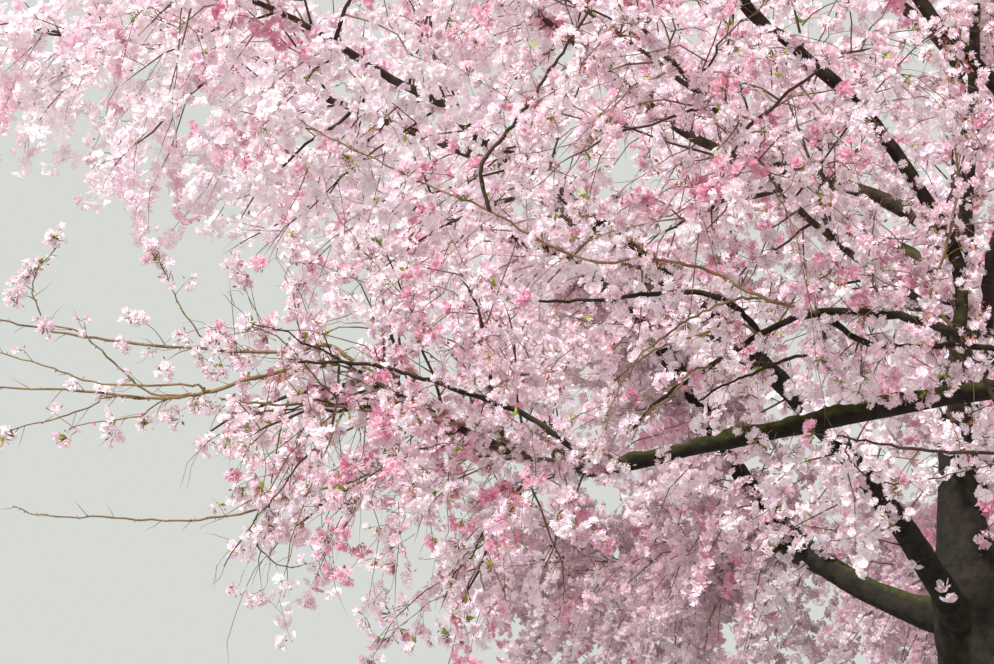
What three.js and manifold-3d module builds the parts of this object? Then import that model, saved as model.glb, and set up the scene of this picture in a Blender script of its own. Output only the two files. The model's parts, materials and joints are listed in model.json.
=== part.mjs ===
// A spreading cherry tree in full blossom, rooted in level ground.
// Millimetres, +Z up. The origin is the middle of the flat cut under the trunk.
// The trunk forks low into five main boughs and a leader. Side boughs leave them, and every
// bough ends in a mass of blossom: twigs that carry sprays of bloom. Angles are in degrees.

import * as THREE from "three";
import { mergeVertices } from "three/addons/utils/BufferGeometryUtils.js";
import Module from "manifold-3d";

const wasm = await Module();
wasm.setup();

// Driving dimensions of the trunk
const trunkHeight = 1950;
const trunkLean = { x: -70, y: 40, azimuth: 150, slope: 84, sweep: 0.4 };
const trunkFootRadius = 195;
const trunkTopRadius = 150;
const rootFlare = { depth: 120, height: 190, lobes: 5, lobeShare: 0.32 };
const trunkSides = 15;
const trunkRings = 8;
const trunkBunching = 1.5;

// Driving dimensions of the boughs
const usualSweep = 0.36;
const mainBoughs = [
  { forkHeight: 1700, slope: 47, sweep: usualSweep },
  { forkHeight: 1560, slope: 27, sweep: usualSweep },
  { forkHeight: 1760, slope: 36, sweep: usualSweep },
  { forkHeight: 1500, slope: 30, sweep: usualSweep },
  { forkHeight: 1800, slope: 12, sweep: 0.48 },
];
const mainBoughRadii = { base: 56, tip: 24 };
const mainBoughSides = 8;
const mainBoughRings = 7;
const leaderRadii = { base: 80, tip: 28 };
const leaderSides = 9;
const leaderRings = 10;
const leaderBunching = 1.4;
const collarFade = 14;
const sideBoughs = {
  low: { forkAt: 0.3, forkStep: 0.12, stepsRound: 2, base: 36, rise: 4 },
  middle: { forkAt: 0.66, forkStep: 0, stepsRound: 1, base: 32, rise: 18 },
  upper: { forkAt: 0.16, forkStep: 0.07, stepsRound: 5, base: 36, rise: 38 },
  top: { forkAt: 0.58, forkStep: 0.07, stepsRound: 3, base: 30, rise: 42 },
};
const sideBoughTipRadius = 18;
const sideBoughSides = 6;
const sideBoughRings = 5;
const turnOutward = 0.62;
const taperCurve = 0.8;
const seatClearance = 0.3;

// Driving dimensions of the crown: four storeys of masses, each mass a space wide across and tall up
const storeys = {
  low: { count: 8, firstAzimuth: -123, step: 34, reach: 3250, height: 2150, wide: 1000, tall: 780 },
  middle: { count: 10, firstAzimuth: -140, step: 36, reach: 3080, height: 3300, wide: 1060, tall: 830 },
  upper: { count: 5, firstAzimuth: -104, step: 72, reach: 1900, height: 4450, wide: 1120, tall: 860 },
  top: { count: 3, firstAzimuth: -60, step: 120, reach: 980, height: 5100, wide: 930, tall: 800 },
};
const crownTop = { azimuth: 150, reach: 90, height: 5560, wide: 860, tall: 790 };
const unevenness = { seed: 11, azimuth: 3, reachShare: 0.03, height: 70 };
const openSide = { azimuth: 168, lift: 700 };
const entrySlopes = { low: -4, middle: 16, upper: 48, top: 52, leader: 84 };
const entryDepth = 0.9;
const entryTurn = 0.35;

// Three masses on the front left keep to places of their own: the lowest hangs from a long level
// bough and sends bare whips out past its space, and the next one stands just above that bough.
// The last low mass hangs from a bough that forks low on the fifth main bough and runs out level.
const specials = {
  low_1: {
    place: { azimuth: -124.6, reach: 3660, height: 2180, wide: 750, tall: 620 },
    bough: { parent: 2, forkAt: 0.52, rise: 0, base: 34, tip: 19 },
    entry: { at: [-1660, -3000, 2080], azimuth: 182, slope: -13 },
    stemTip: [-2330, -3010, 2335],
    whips: { from: [0.62, 0.8, 0.95, 0.35], tipHeights: [2440, 2360, 2277, 1990] },
  },
  middle_2: {
    place: { azimuth: -113.7, reach: 3363, height: 2850, wide: 930, tall: 740 },
    bough: { parent: 2, forkAt: 0.66, rise: 8, base: 28, tip: 13 },
    entry: { at: [-640, -2800, 2430], azimuth: 184, slope: 14 },
  },
  middle_1: {
    place: { azimuth: -135, reach: 3150, height: 3330, wide: 1060, tall: 830 },
  },
  low_8: {
    bough: { parent: 5, forkAt: 0.2 },
  },
};
const whipTip = { x: -3110, y: -3100, spread: 60 };
const whipSlopes = { leave: 12, arrive: -4 };
const whipRadii = { base: 6.5, tip: 2.5 };
const whipRings = 3;

// Driving dimensions of the twigs in a mass
const stemRises = { low: -0.1, middle: 0.16, upper: 0.45, top: 0.5, leader: 0.9 };
const stemReach = 0.86;
const stemFall = 0.12;
const stemSweep = 0.3;
const stemRings = 4;
const stemTipRadius = 12;
const branchCount = 7;
const branchSpan = { first: 0.14, last: 0.86 };
const branchLean = { first: 74, last: 44, uneven: 8 };
const branchTurn = { step: 137.5, uneven: 14 };
const branchRadii = [4, 9, 6];
const branchRings = 2;
const branchSweep = 0.34;
const branchLengths = { longest: 1150, shortest: 260, shrink: 0.9 };
const branchDroop = 0.16;
const branchCurl = 0.3;

// Driving dimensions of the sprays of bloom
const spray = { length: 540, width: 400, thick: 300, sideSunk: 8, tipSunk: 320, sizes: [0.86, 1.16] };
const sprayOverhang = 160;
const sprayPlaces = [0.35, 0.7, 1];
const stemSprayPlaces = [0.4, 0.7, 1];
const sprayTurn = { side: 0.7, tip: 0.1 };
const spraySmaller = [1, 0.78, 0.6];
const sprayGap = 325;
const spaceMargin = 0.05;
const limbClearance = 12;
const limbPieces = 8;
const twigSamples = 8;
const smallestFacet = 4;

const barkMaterial = new THREE.MeshStandardMaterial({ color: 0x4a3d2c, roughness: 0.9, metalness: 0 });
const blossomMaterial = new THREE.MeshStandardMaterial({ color: 0xf3c3d8, roughness: 0.75, metalness: 0 });

const radians = THREE.MathUtils.degToRad;
const mix = THREE.MathUtils.lerp;
const vector = (x, y, z) => new THREE.Vector3(x, y, z);
const upward = vector(0, 0, 1);

// The same numbers every time, spread evenly between a low and a high value
function seededRandom(seed) {
  const modulus = 4294967296;
  let state = (seed * 2654435761) % modulus;
  const next = () => {
    state = (state * 1664525 + 1013904223) % modulus;
    return state / modulus;
  };
  next();
  return (low, high) => mix(low, high, next());
}

// A direction from its compass angle and its slope above level
function heading(azimuth, slope = 0) {
  const a = radians(azimuth);
  const s = radians(slope);
  return vector(Math.cos(a) * Math.cos(s), Math.sin(a) * Math.cos(s), Math.sin(s));
}

function blend(from, to, share) {
  return from.clone().lerp(to, share).normalize();
}

// A curve that leaves one point along a direction and arrives at another along a second one
function curveBetween(start, leave, end, arrive, sweep) {
  const reach = start.distanceTo(end) * sweep;
  return new THREE.CubicBezierCurve3(
    start,
    start.clone().addScaledVector(leave, reach),
    end.clone().addScaledVector(arrive, -reach),
    end,
  );
}

function tangentAt({ v0, v1, v2, v3 }, share) {
  const rest = 1 - share;
  return vector(0, 0, 0)
    .addScaledVector(v1.clone().sub(v0), rest * rest)
    .addScaledVector(v2.clone().sub(v1), 2 * rest * share)
    .addScaledVector(v3.clone().sub(v2), share * share)
    .normalize();
}

// A direction square to a curve, turned round it from the level side
function sideOf(along, turn) {
  return upward.clone().cross(along).normalize().applyAxisAngle(along, turn);
}

// Limbs: a limb is a curve with a radius that follows the share of the way along it
function makeLimb(name, curve, radiusAt, sides, rings, bunching = 1) {
  const shares = Array.from({ length: rings + 1 }, (_, i) => (i / rings) ** bunching);
  return { name, curve, radiusAt, sides, rings, shares };
}

function taper(base, tip) {
  return (share) => mix(base, tip, share ** taperCurve);
}

// A cylinder whose rings are moved on to the limb's curve, closed at both ends by flat cuts
function limbGeometry(limb, extra = 0) {
  const geometry = new THREE.CylinderGeometry(1, 1, 1, limb.sides, limb.rings);
  const position = geometry.getAttribute("position");
  const startsUpright = Math.abs(tangentAt(limb.curve, 0).z) > 0.9;
  let across = startsUpright ? vector(1, 0, 0) : upward;
  const frames = limb.shares.map((share) => {
    const along = tangentAt(limb.curve, share);
    across = across.clone().projectOnPlane(along).normalize();
    return { centre: limb.curve.getPoint(share), across, beside: along.clone().cross(across) };
  });
  for (let i = 0; i < position.count; i++) {
    const unit = vector(position.getX(i), position.getY(i), position.getZ(i));
    const ring = Math.round((unit.y + 0.5) * limb.rings);
    const radius = limb.radiusAt(limb.shares[ring], Math.atan2(unit.x, unit.z)) + extra;
    const moved = frames[ring].centre
      .clone()
      .addScaledVector(frames[ring].across, unit.z * radius)
      .addScaledVector(frames[ring].beside, unit.x * radius);
    position.setXYZ(i, moved.x, moved.y, moved.z);
  }
  return geometry;
}

// Solids, for joining and cutting
function solidFrom(geometry) {
  const bare = geometry.clone();
  bare.deleteAttribute("normal");
  bare.deleteAttribute("uv");
  const merged = mergeVertices(bare, 1e-3);
  return new wasm.Manifold(
    new wasm.Mesh({
      numProp: 3,
      vertProperties: new Float32Array(merged.attributes.position.array),
      triVerts: new Uint32Array(merged.index.array),
    }),
  );
}

function limbSolid(limb, extra = 0) {
  return solidFrom(limbGeometry(limb, extra));
}

function largestBody(solid) {
  return solid.decompose().reduce((best, body) => (body.volume() > best.volume() ? body : best));
}

function meshFrom(name, solid, material) {
  const made = largestBody(solid).getMesh();
  const geometry = new THREE.BufferGeometry();
  geometry.setAttribute("position", new THREE.BufferAttribute(made.vertProperties, 3));
  geometry.setIndex(new THREE.BufferAttribute(made.triVerts, 1));
  geometry.computeVertexNormals();
  const mesh = new THREE.Mesh(geometry, material);
  mesh.name = name;
  return mesh;
}

// The trunk: a slight lean, a true taper, and a root flare with rounded lobes at the ground
function makeTrunk() {
  const top = vector(trunkLean.x, trunkLean.y, trunkHeight);
  const arrive = heading(trunkLean.azimuth, trunkLean.slope);
  const curve = curveBetween(vector(0, 0, 0), upward, top, arrive, trunkLean.sweep);
  const radiusAt = (share, angle) => {
    const flare = rootFlare.depth * Math.exp((-share * trunkHeight) / rootFlare.height);
    const lobes = 1 + rootFlare.lobeShare * Math.cos(rootFlare.lobes * angle);
    return mix(trunkFootRadius, trunkTopRadius, share) + flare * lobes;
  };
  return makeLimb("trunk", curve, radiusAt, trunkSides, trunkRings, trunkBunching);
}

// The spaces that the blossom masses keep to, storey by storey, a little uneven all round.
// The middle storey rises on the open side, where no low bough hangs.
function makeSpaces() {
  const random = seededRandom(unevenness.seed);
  const spaces = [];
  for (const [storeyName, storey] of Object.entries(storeys)) {
    for (let k = 0; k < storey.count; k++) {
      const name = `${storeyName}_${k + 1}`;
      const turned = random(-unevenness.azimuth, unevenness.azimuth);
      const azimuth = storey.firstAzimuth + k * storey.step + turned;
      const reach = storey.reach * (1 + random(-unevenness.reachShare, unevenness.reachShare));
      const facing = Math.max(0, Math.cos(radians(azimuth - openSide.azimuth)));
      const lift = storeyName === "middle" ? openSide.lift * facing ** 2 : 0;
      const height = storey.height + lift + random(-unevenness.height, unevenness.height);
      const special = specials[name] ?? {};
      const placed = { azimuth, reach, height, wide: storey.wide, tall: storey.tall, ...special.place };
      spaces.push({ name, storey: storeyName, index: k, special, ...placed });
    }
  }
  spaces.push({ name: "top_4", storey: "leader", index: 0, ...crownTop, special: {} });
  for (const space of spaces) {
    space.centre = heading(space.azimuth).multiplyScalar(space.reach).setZ(space.height);
  }
  return spaces;
}

// How far out a point lies in a space, from 0 at its centre to 1 at its edge
function shareOut(point, space) {
  const { centre, wide, tall } = space;
  return Math.hypot((point.x - centre.x) / wide, (point.y - centre.y) / wide, (point.z - centre.z) / tall);
}

// A space ends at its own edge, and halfway to its neighbours where they meet
function keepsToSpace(point, space, spaces) {
  const own = shareOut(point, space);
  if (own > 1) return false;
  return spaces.every((other) => other === space || shareOut(point, other) - own > spaceMargin);
}

// Where a bough's tip stands at the edge of its mass, and the way it is heading there
function entryOf(space, from) {
  const { entry } = space.special;
  if (entry) return { tip: vector(...entry.at), arrive: heading(entry.azimuth, entry.slope) };
  const towards = space.centre.clone().sub(from).normalize();
  const straight = heading(space.azimuth, entrySlopes[space.storey]);
  const inward = space.storey === "leader" ? straight : blend(straight, towards, entryTurn);
  const level = Math.hypot(inward.x, inward.y) / space.wide;
  const toEdge = entryDepth / Math.hypot(level, inward.z / space.tall);
  return { tip: space.centre.clone().addScaledVector(inward, -toEdge), arrive: inward };
}

// A bough that forks from its parent part of the way along and ends at its mass
function makeBough(name, space, parent, { forkAt, leave, base, tip, sides, rings, sweep }) {
  const start = parent.curve.getPoint(forkAt);
  const entry = entryOf(space, start);
  const curve = curveBetween(start, leave, entry.tip, entry.arrive, sweep);
  const limb = makeLimb(name, curve, taper(base, tip), sides, rings);
  const bough = { ...limb, parent, azimuth: space.azimuth };
  space.bough = bough;
  return bough;
}

// The leader stands on the trunk's top cut, with a collar as wide as the trunk, and runs up the crown
function makeLeader(trunk, space) {
  const leave = tangentAt(trunk.curve, 1);
  const start = trunk.curve.getPoint(1).addScaledVector(leave, seatClearance);
  const entry = entryOf(space, start);
  const curve = curveBetween(start, leave, entry.tip, entry.arrive, usualSweep);
  const slim = taper(leaderRadii.base, leaderRadii.tip);
  const collar = trunkTopRadius - leaderRadii.base;
  const radiusAt = (share) => slim(share) + collar * Math.exp(-share * collarFade);
  const leader = makeLimb("leader_bough", curve, radiusAt, leaderSides, leaderRings, leaderBunching);
  space.bough = leader;
  return leader;
}

// A side bough leaves the nearest main bough, the next one round, or the leader, or else the
// main bough that its mass names
function makeSideBough(space, mains, leader) {
  const turnTo = (main) => (((main.azimuth - space.azimuth) % 360) + 360) % 360;
  const gapTo = (main) => Math.min(turnTo(main), 360 - turnTo(main));
  const least = (measure) => mains.reduce((best, main) => (measure(main) < measure(best) ? main : best));
  const parents = { low: least(gapTo), middle: least(turnTo), upper: leader, top: leader };
  const { parent: number, ...own } = space.special.bough ?? {};
  const parent = number ? mains[number - 1] : parents[space.storey];
  const rule = sideBoughs[space.storey];
  const forkAt = rule.forkAt + rule.forkStep * (space.index % rule.stepsRound);
  const usual = { forkAt, rise: rule.rise, base: rule.base, tip: sideBoughTipRadius };
  const chosen = { ...usual, ...own };
  const outward = heading(space.azimuth, chosen.rise);
  const leave = blend(tangentAt(parent.curve, chosen.forkAt), outward, turnOutward);
  const name = `${space.storey}_bough_${space.index + 1}`;
  const size = { sides: sideBoughSides, rings: sideBoughRings, sweep: usualSweep };
  return makeBough(name, space, parent, { ...chosen, ...size, leave });
}

function makeBoughs(trunk, spaces) {
  const spaceNamed = (name) => spaces.find((space) => space.name === name);
  const leader = makeLeader(trunk, spaceNamed("top_4"));
  const mains = mainBoughs.map(({ forkHeight, slope, sweep }, k) => {
    const space = spaceNamed(`middle_${2 * k + 1}`);
    const leave = heading(space.azimuth, slope);
    const forkAt = forkHeight / trunkHeight;
    const size = { ...mainBoughRadii, sides: mainBoughSides, rings: mainBoughRings, sweep };
    return makeBough(`main_bough_${k + 1}`, space, trunk, { ...size, forkAt, leave });
  });
  const sides = spaces.filter((space) => !space.bough).map((space) => makeSideBough(space, mains, leader));
  return { leader, mains, sides };
}

// A bough's solid is cut back from its parent, the trunk and the leader by the seat's clearance
function seatedBough(bough, trunk, leader) {
  const cutters = new Set([bough.parent, trunk, leader]);
  let solid = limbSolid(bough);
  for (const cutter of cutters) solid = solid.subtract(limbSolid(cutter, seatClearance));
  return solid;
}

// The stem of a mass carries on from its bough's tip, through the middle, to the far edge
function makeStem(space) {
  const leave = tangentAt(space.bough.curve, 1);
  const root = space.bough.curve.getPoint(1).addScaledVector(leave, seatClearance);
  const rise = stemRises[space.storey];
  const far = space.centre.clone();
  far.addScaledVector(heading(space.azimuth), Math.sqrt(1 - rise * rise) * stemReach * space.wide);
  far.z += rise * stemReach * space.tall;
  if (space.special.stemTip) far.set(...space.special.stemTip);
  const arrive = far.clone().sub(space.centre).addScaledVector(upward, -stemFall * space.tall).normalize();
  const curve = curveBetween(root, leave, far, arrive, stemSweep);
  const radiusAt = taper(space.bough.radiusAt(1), stemTipRadius);
  return makeLimb(`${space.name}_stem`, curve, radiusAt, 3, stemRings);
}

// Long bare whips that reach out of a mass's space, on the open side of the tree
function makeWhips(space, stem) {
  const { from, tipHeights } = space.special.whips;
  return from.map((share, k) => {
    const start = stem.curve.getPoint(share);
    const tip = vector(whipTip.x, whipTip.y + whipTip.spread * k, tipHeights[k]);
    const leave = heading(180, whipSlopes.leave);
    const curve = curveBetween(start, leave, tip, heading(180, whipSlopes.arrive), branchSweep);
    return makeLimb(`whip_${k + 1}`, curve, taper(whipRadii.base, whipRadii.tip), 3, whipRings);
  });
}

// The limbs that twigs and sprays keep clear of, as straight pieces
function piecesOf(limb) {
  return Array.from({ length: limbPieces }, (_, i) => {
    const from = i / limbPieces;
    const line = new THREE.Line3(limb.curve.getPoint(from), limb.curve.getPoint((i + 1) / limbPieces));
    return { line, thick: limb.radiusAt(from, 0) };
  });
}

function clearOfLimbs(points, radius, obstacles) {
  const nearest = vector(0, 0, 0);
  return points.every((point) =>
    obstacles.every(({ line, thick }) => {
      line.closestPointToPoint(point, true, nearest);
      return nearest.distanceTo(point) > thick + radius + limbClearance;
    }),
  );
}

// A branch of a stem: as long as its space leaves it, drooping towards its end
function makeBranch(space, spaces, stem, share, turn, lean, obstacles) {
  const start = stem.curve.getPoint(share);
  const along = tangentAt(stem.curve, share);
  const side = sideOf(along, turn);
  const leave = along.clone().multiplyScalar(Math.cos(lean)).addScaledVector(side, Math.sin(lean));
  const { longest, shortest, shrink } = branchLengths;
  for (let length = longest; length > shortest; length *= shrink) {
    const end = start.clone().addScaledVector(leave, length);
    end.addScaledVector(upward, -branchDroop * length);
    const arrive = blend(end.clone().sub(start).normalize(), vector(0, 0, -1), branchCurl);
    const curve = curveBetween(start, leave, end, arrive, branchSweep);
    const points = Array.from({ length: twigSamples }, (_, i) => curve.getPoint((i + 1) / twigSamples));
    const overhang = end.clone().addScaledVector(arrive, sprayOverhang);
    const inside = [...points, overhang].every((point) => keepsToSpace(point, space, spaces));
    if (!inside || !clearOfLimbs(points, branchRadii[1], obstacles)) continue;
    return makeLimb("branch", curve, (at) => branchRadii[at * branchRings], 3, branchRings);
  }
  return null;
}

// A spray of bloom: eight faces, its root sunk into the twig that carries it
function makeSpray(anchor, direction, sunk, size, roll, space, spaces, obstacles) {
  const length = spray.length * size;
  const rolled = new THREE.Quaternion().setFromAxisAngle(upward, roll);
  const matrix = new THREE.Matrix4().compose(
    anchor.clone().addScaledVector(direction, length / 2 - sunk * size),
    new THREE.Quaternion().setFromUnitVectors(upward, direction).multiply(rolled),
    vector((spray.width * size) / 2, (spray.thick * size) / 2, length / 2),
  );
  const geometry = new THREE.OctahedronGeometry(1).applyMatrix4(matrix);
  const corners = geometry.getAttribute("position");
  for (let i = 0; i < corners.count; i++) {
    const corner = vector(0, 0, 0).fromBufferAttribute(corners, i);
    if (!keepsToSpace(corner, space, spaces)) return null;
  }
  const axis = [-0.4, 0, 0.4].map((at) => vector(0, 0, 2 * at).applyMatrix4(matrix));
  if (!clearOfLimbs(axis, (spray.width * size) / 2, obstacles)) return null;
  return { solid: solidFrom(geometry), middle: axis[1] };
}

// The sprays on a twig, each a step away from those that are there already
function addSprays(twig, places, space, spaces, random, obstacles, found) {
  for (const share of places) {
    const along = tangentAt(twig.curve, share);
    const side = sideOf(along, random(0, 2 * Math.PI));
    const roll = random(0, Math.PI);
    const size = random(...spray.sizes);
    const atTip = share === 1;
    const direction = blend(along, side, atTip ? sprayTurn.tip : sprayTurn.side);
    const sunk = atTip ? spray.tipSunk : spray.sideSunk;
    const anchor = twig.curve.getPoint(share);
    for (const smaller of spraySmaller) {
      const made = makeSpray(anchor, direction, sunk, size * smaller, roll, space, spaces, obstacles);
      if (!made || found.some((other) => other.middle.distanceTo(made.middle) < sprayGap)) continue;
      found.push(made);
      break;
    }
  }
}

// A mass: the stem, its branches all round it and the sprays on them, joined into one solid
function makeMass(space, spaces, limbs, stems) {
  const random = seededRandom(100 + spaces.indexOf(space));
  const stem = stems.get(space);
  const others = [...stems.values()].filter((other) => other !== stem);
  const obstacles = [...limbs, ...others].flatMap(piecesOf);
  const branches = [];
  let turn = random(0, 360);
  for (let k = 0; k < branchCount; k++) {
    const upStem = k / (branchCount - 1);
    const share = mix(branchSpan.first, branchSpan.last, upStem);
    turn += branchTurn.step + random(-branchTurn.uneven, branchTurn.uneven);
    const unevenLean = random(-branchLean.uneven, branchLean.uneven);
    const lean = mix(branchLean.first, branchLean.last, upStem) + unevenLean;
    const branch = makeBranch(space, spaces, stem, share, radians(turn), radians(lean), obstacles);
    if (branch) branches.push(branch);
  }
  const sprays = [];
  for (const branch of branches) addSprays(branch, sprayPlaces, space, spaces, random, obstacles, sprays);
  addSprays(stem, stemSprayPlaces, space, spaces, random, obstacles, sprays);
  const whips = space.special.whips ? makeWhips(space, stem) : [];
  let solid = limbSolid(stem);
  for (const twig of [...branches, ...whips]) solid = solid.add(limbSolid(twig));
  for (const { solid: bloom } of sprays) solid = solid.add(bloom);
  return meshFrom(`blossom_${space.name}`, solid.simplify(smallestFacet), blossomMaterial);
}

const trunk = makeTrunk();
const spaces = makeSpaces();
const { leader, mains, sides } = makeBoughs(trunk, spaces);

const wood = new THREE.Group();
wood.name = "trunk_and_boughs";
wood.add(meshFrom(trunk.name, limbSolid(trunk), barkMaterial));
wood.add(meshFrom(leader.name, limbSolid(leader), barkMaterial));
for (const bough of [...mains, ...sides]) {
  wood.add(meshFrom(bough.name, seatedBough(bough, trunk, leader), barkMaterial));
}

const crown = new THREE.Group();
crown.name = "crown";
const limbs = [trunk, leader, ...mains, ...sides];
const stems = new Map(spaces.map((space) => [space, makeStem(space)]));
for (const space of spaces) crown.add(makeMass(space, spaces, limbs, stems));

const tree = new THREE.Group();
tree.name = "cherry_tree";
tree.add(wood, crown);

export default tree;
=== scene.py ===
import json
import math

import bpy
import numpy as np
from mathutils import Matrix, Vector

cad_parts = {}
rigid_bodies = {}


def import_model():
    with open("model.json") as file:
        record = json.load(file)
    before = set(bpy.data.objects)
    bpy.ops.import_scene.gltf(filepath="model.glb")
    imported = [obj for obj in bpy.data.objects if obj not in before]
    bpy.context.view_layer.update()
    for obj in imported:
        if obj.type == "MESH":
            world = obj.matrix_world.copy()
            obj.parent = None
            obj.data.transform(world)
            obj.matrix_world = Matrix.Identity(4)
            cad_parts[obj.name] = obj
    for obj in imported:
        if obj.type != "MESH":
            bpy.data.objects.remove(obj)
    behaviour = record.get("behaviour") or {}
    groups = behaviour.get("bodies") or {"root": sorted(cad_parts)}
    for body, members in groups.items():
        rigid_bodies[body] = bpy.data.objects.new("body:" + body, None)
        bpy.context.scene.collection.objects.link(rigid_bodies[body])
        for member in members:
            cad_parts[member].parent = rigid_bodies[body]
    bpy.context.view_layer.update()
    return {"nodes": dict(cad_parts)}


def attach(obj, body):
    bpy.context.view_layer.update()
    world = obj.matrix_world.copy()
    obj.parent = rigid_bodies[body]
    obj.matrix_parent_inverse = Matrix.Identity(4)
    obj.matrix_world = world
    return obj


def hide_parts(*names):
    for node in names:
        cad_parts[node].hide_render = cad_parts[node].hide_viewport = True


# A spreading cherry tree in full blossom. Metres, +Z up, the trunk's foot at the origin.
# The limbs and the twigs that carry the blossom grow by the rule of the solid tree, and finer
# twigs, clusters of flowers, buds and young leaves grow on from them.

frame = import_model()
print("stage: the solid tree is loaded,", len(frame["nodes"]), "nodes")


# Camera, at the photo's viewing angle
camera = {
    "place": (-1.93, -7.6, 1.6), "pitch": 10.0, "lens": 69.6, "sensor": 36.0, "clipEnd": 300,
    "photo": (994, 664),
}


def addCamera():
    data = bpy.data.cameras.new("photoCamera")
    data.lens = camera["lens"]
    data.sensor_width = camera["sensor"]
    data.clip_end = camera["clipEnd"]
    made = bpy.data.objects.new("photoCamera", data)
    made.location = camera["place"]
    made.rotation_euler = (math.radians(90 + camera["pitch"]), 0, 0)
    bpy.context.scene.collection.objects.link(made)
    bpy.context.scene.camera = made


# The photo's way in, its upright, and its pixels for one metre seen from one metre away
tilt = math.radians(camera["pitch"])
photoIn = np.array([0, math.cos(tilt), math.sin(tilt)])
photoUp = np.array([0, -math.sin(tilt), math.cos(tilt)])
photoReach = camera["lens"] / camera["sensor"] * camera["photo"][0]


# The place seen at a pixel of the photo, at a distance measured along the view
def atPixel(across, down, distance):
    wide, high = camera["photo"]
    aside = np.array([1.0, 0, 0]) * (across - wide / 2) / photoReach
    ray = photoIn + aside + photoUp * (high / 2 - down) / photoReach
    return np.array(camera["place"]) + distance * ray


# The photo's pixel at which a place is seen
def inPhoto(points):
    wide, high = camera["photo"]
    offset = points - np.array(camera["place"])
    scale = photoReach / (offset @ photoIn)
    return wide / 2 + scale * offset[:, 0], high / 2 - scale * (offset @ photoUp)


addCamera()


# Directions and curves. A curve is four points; a batch of curves has them along its last two axes
upward = np.array([0.0, 0.0, 1.0])


def unit(way):
    return way / np.maximum(np.linalg.norm(way, axis=-1, keepdims=True), 1e-12)


def dot(one, other):
    return (one * other).sum(-1, keepdims=True)


def heading(azimuth, slope=0.0):
    a, s = math.radians(azimuth), math.radians(slope)
    return np.array([math.cos(a) * math.cos(s), math.sin(a) * math.cos(s), math.sin(s)])


def blend(start, end, share):
    return unit(start + (end - start) * share)


def curveBetween(start, leave, end, arrive, sweep):
    arm = np.linalg.norm(end - start, axis=-1, keepdims=True) * sweep
    return np.stack([start, start + leave * arm, end - arrive * arm, end], axis=-2)


def pointOn(curve, share):
    t = np.asarray(share, float)[..., None]
    a, b, c, d = (curve[..., k, :] for k in range(4))
    return (1 - t) ** 3 * a + 3 * (1 - t) ** 2 * t * b + 3 * (1 - t) * t * t * c + t**3 * d


def wayOn(curve, share):
    t = np.asarray(share, float)[..., None]
    a, b, c, d = (curve[..., k, :] for k in range(4))
    return unit((1 - t) ** 2 * (b - a) + 2 * (1 - t) * t * (c - b) + t * t * (d - c))


# A direction square to a curve, turned round it from the level side
def sideOf(along, turn):
    level = unit(np.cross(np.broadcast_to(upward, along.shape), along))
    turn = np.asarray(turn, float)[..., None]
    return level * np.cos(turn) + np.cross(along, level) * np.sin(turn)


def lengthOf(curve):
    points = pointOn(curve[..., None, :, :], np.linspace(0, 1, 9))
    return np.linalg.norm(np.diff(points, axis=-2), axis=-1).sum(-1)


# The same numbers every time, as the solid tree draws them
drawRule = {"modulus": 4294967296, "spread": 2654435761, "factor": 1664525, "step": 1013904223}


def sourceDraws(seed):
    modulus = drawRule["modulus"]
    state = [(seed * drawRule["spread"]) % modulus]

    def draw(low, high):
        state[0] = (state[0] * drawRule["factor"] + drawRule["step"]) % modulus
        return low + (high - low) * state[0] / modulus

    draw(0, 1)
    return draw


# The limbs and the spaces of the crown, by the rule of the solid tree
trunk = {
    "height": 1.95, "lean": (-0.07, 0.04), "azimuth": 150, "slope": 84, "sweep": 0.4,
    "footRadius": 0.195, "topRadius": 0.15,
    "flareDepth": 0.12, "flareHeight": 0.19, "lobes": 5, "lobeShare": 0.32,
}
limbRule = {
    "sweep": 0.36, "outward": 0.62, "taper": 0.8, "seat": 0.0003,
    "main": {"base": 0.056, "tip": 0.024},
    "leader": {"base": 0.080, "tip": 0.028, "collarFade": 14},
    "sideTip": 0.018,
}
mainBoughs = [
    {"forkHeight": 1.70, "slope": 47, "sweep": 0.36},
    {"forkHeight": 1.56, "slope": 27, "sweep": 0.36},
    {"forkHeight": 1.76, "slope": 36, "sweep": 0.36},
    {"forkHeight": 1.50, "slope": 30, "sweep": 0.36},
    {"forkHeight": 1.80, "slope": 12, "sweep": 0.48},
]
sideBoughs = {
    "low": {"forkAt": 0.30, "forkStep": 0.12, "stepsRound": 2, "base": 0.036, "rise": 4},
    "middle": {"forkAt": 0.66, "forkStep": 0, "stepsRound": 1, "base": 0.032, "rise": 18},
    "upper": {"forkAt": 0.16, "forkStep": 0.07, "stepsRound": 5, "base": 0.036, "rise": 38},
    "top": {"forkAt": 0.58, "forkStep": 0.07, "stepsRound": 3, "base": 0.030, "rise": 42},
}
storeys = {
    "low": {"count": 8, "first": -123, "step": 34, "reach": 3.25, "height": 2.15, "wide": 1.00, "tall": 0.78},
    "middle": {
        "count": 10, "first": -140, "step": 36, "reach": 3.08, "height": 3.30, "wide": 1.06, "tall": 0.83,
    },
    "upper": {
        "count": 5, "first": -104, "step": 72, "reach": 1.90, "height": 4.45, "wide": 1.12, "tall": 0.86,
    },
    "top": {"count": 3, "first": -60, "step": 120, "reach": 0.98, "height": 5.10, "wide": 0.93, "tall": 0.80},
}
crownTop = {"azimuth": 150, "reach": 0.09, "height": 5.56, "wide": 0.86, "tall": 0.79}
crownRule = {
    "seed": 11, "azimuth": 3, "reachShare": 0.03, "height": 0.07, "openAzimuth": 168, "openLift": 0.7,
    "entrySlopes": {"low": -4, "middle": 16, "upper": 48, "top": 52, "leader": 84},
    "entryDepth": 0.9, "entryTurn": 0.35, "margin": 0.05,
}
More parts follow.
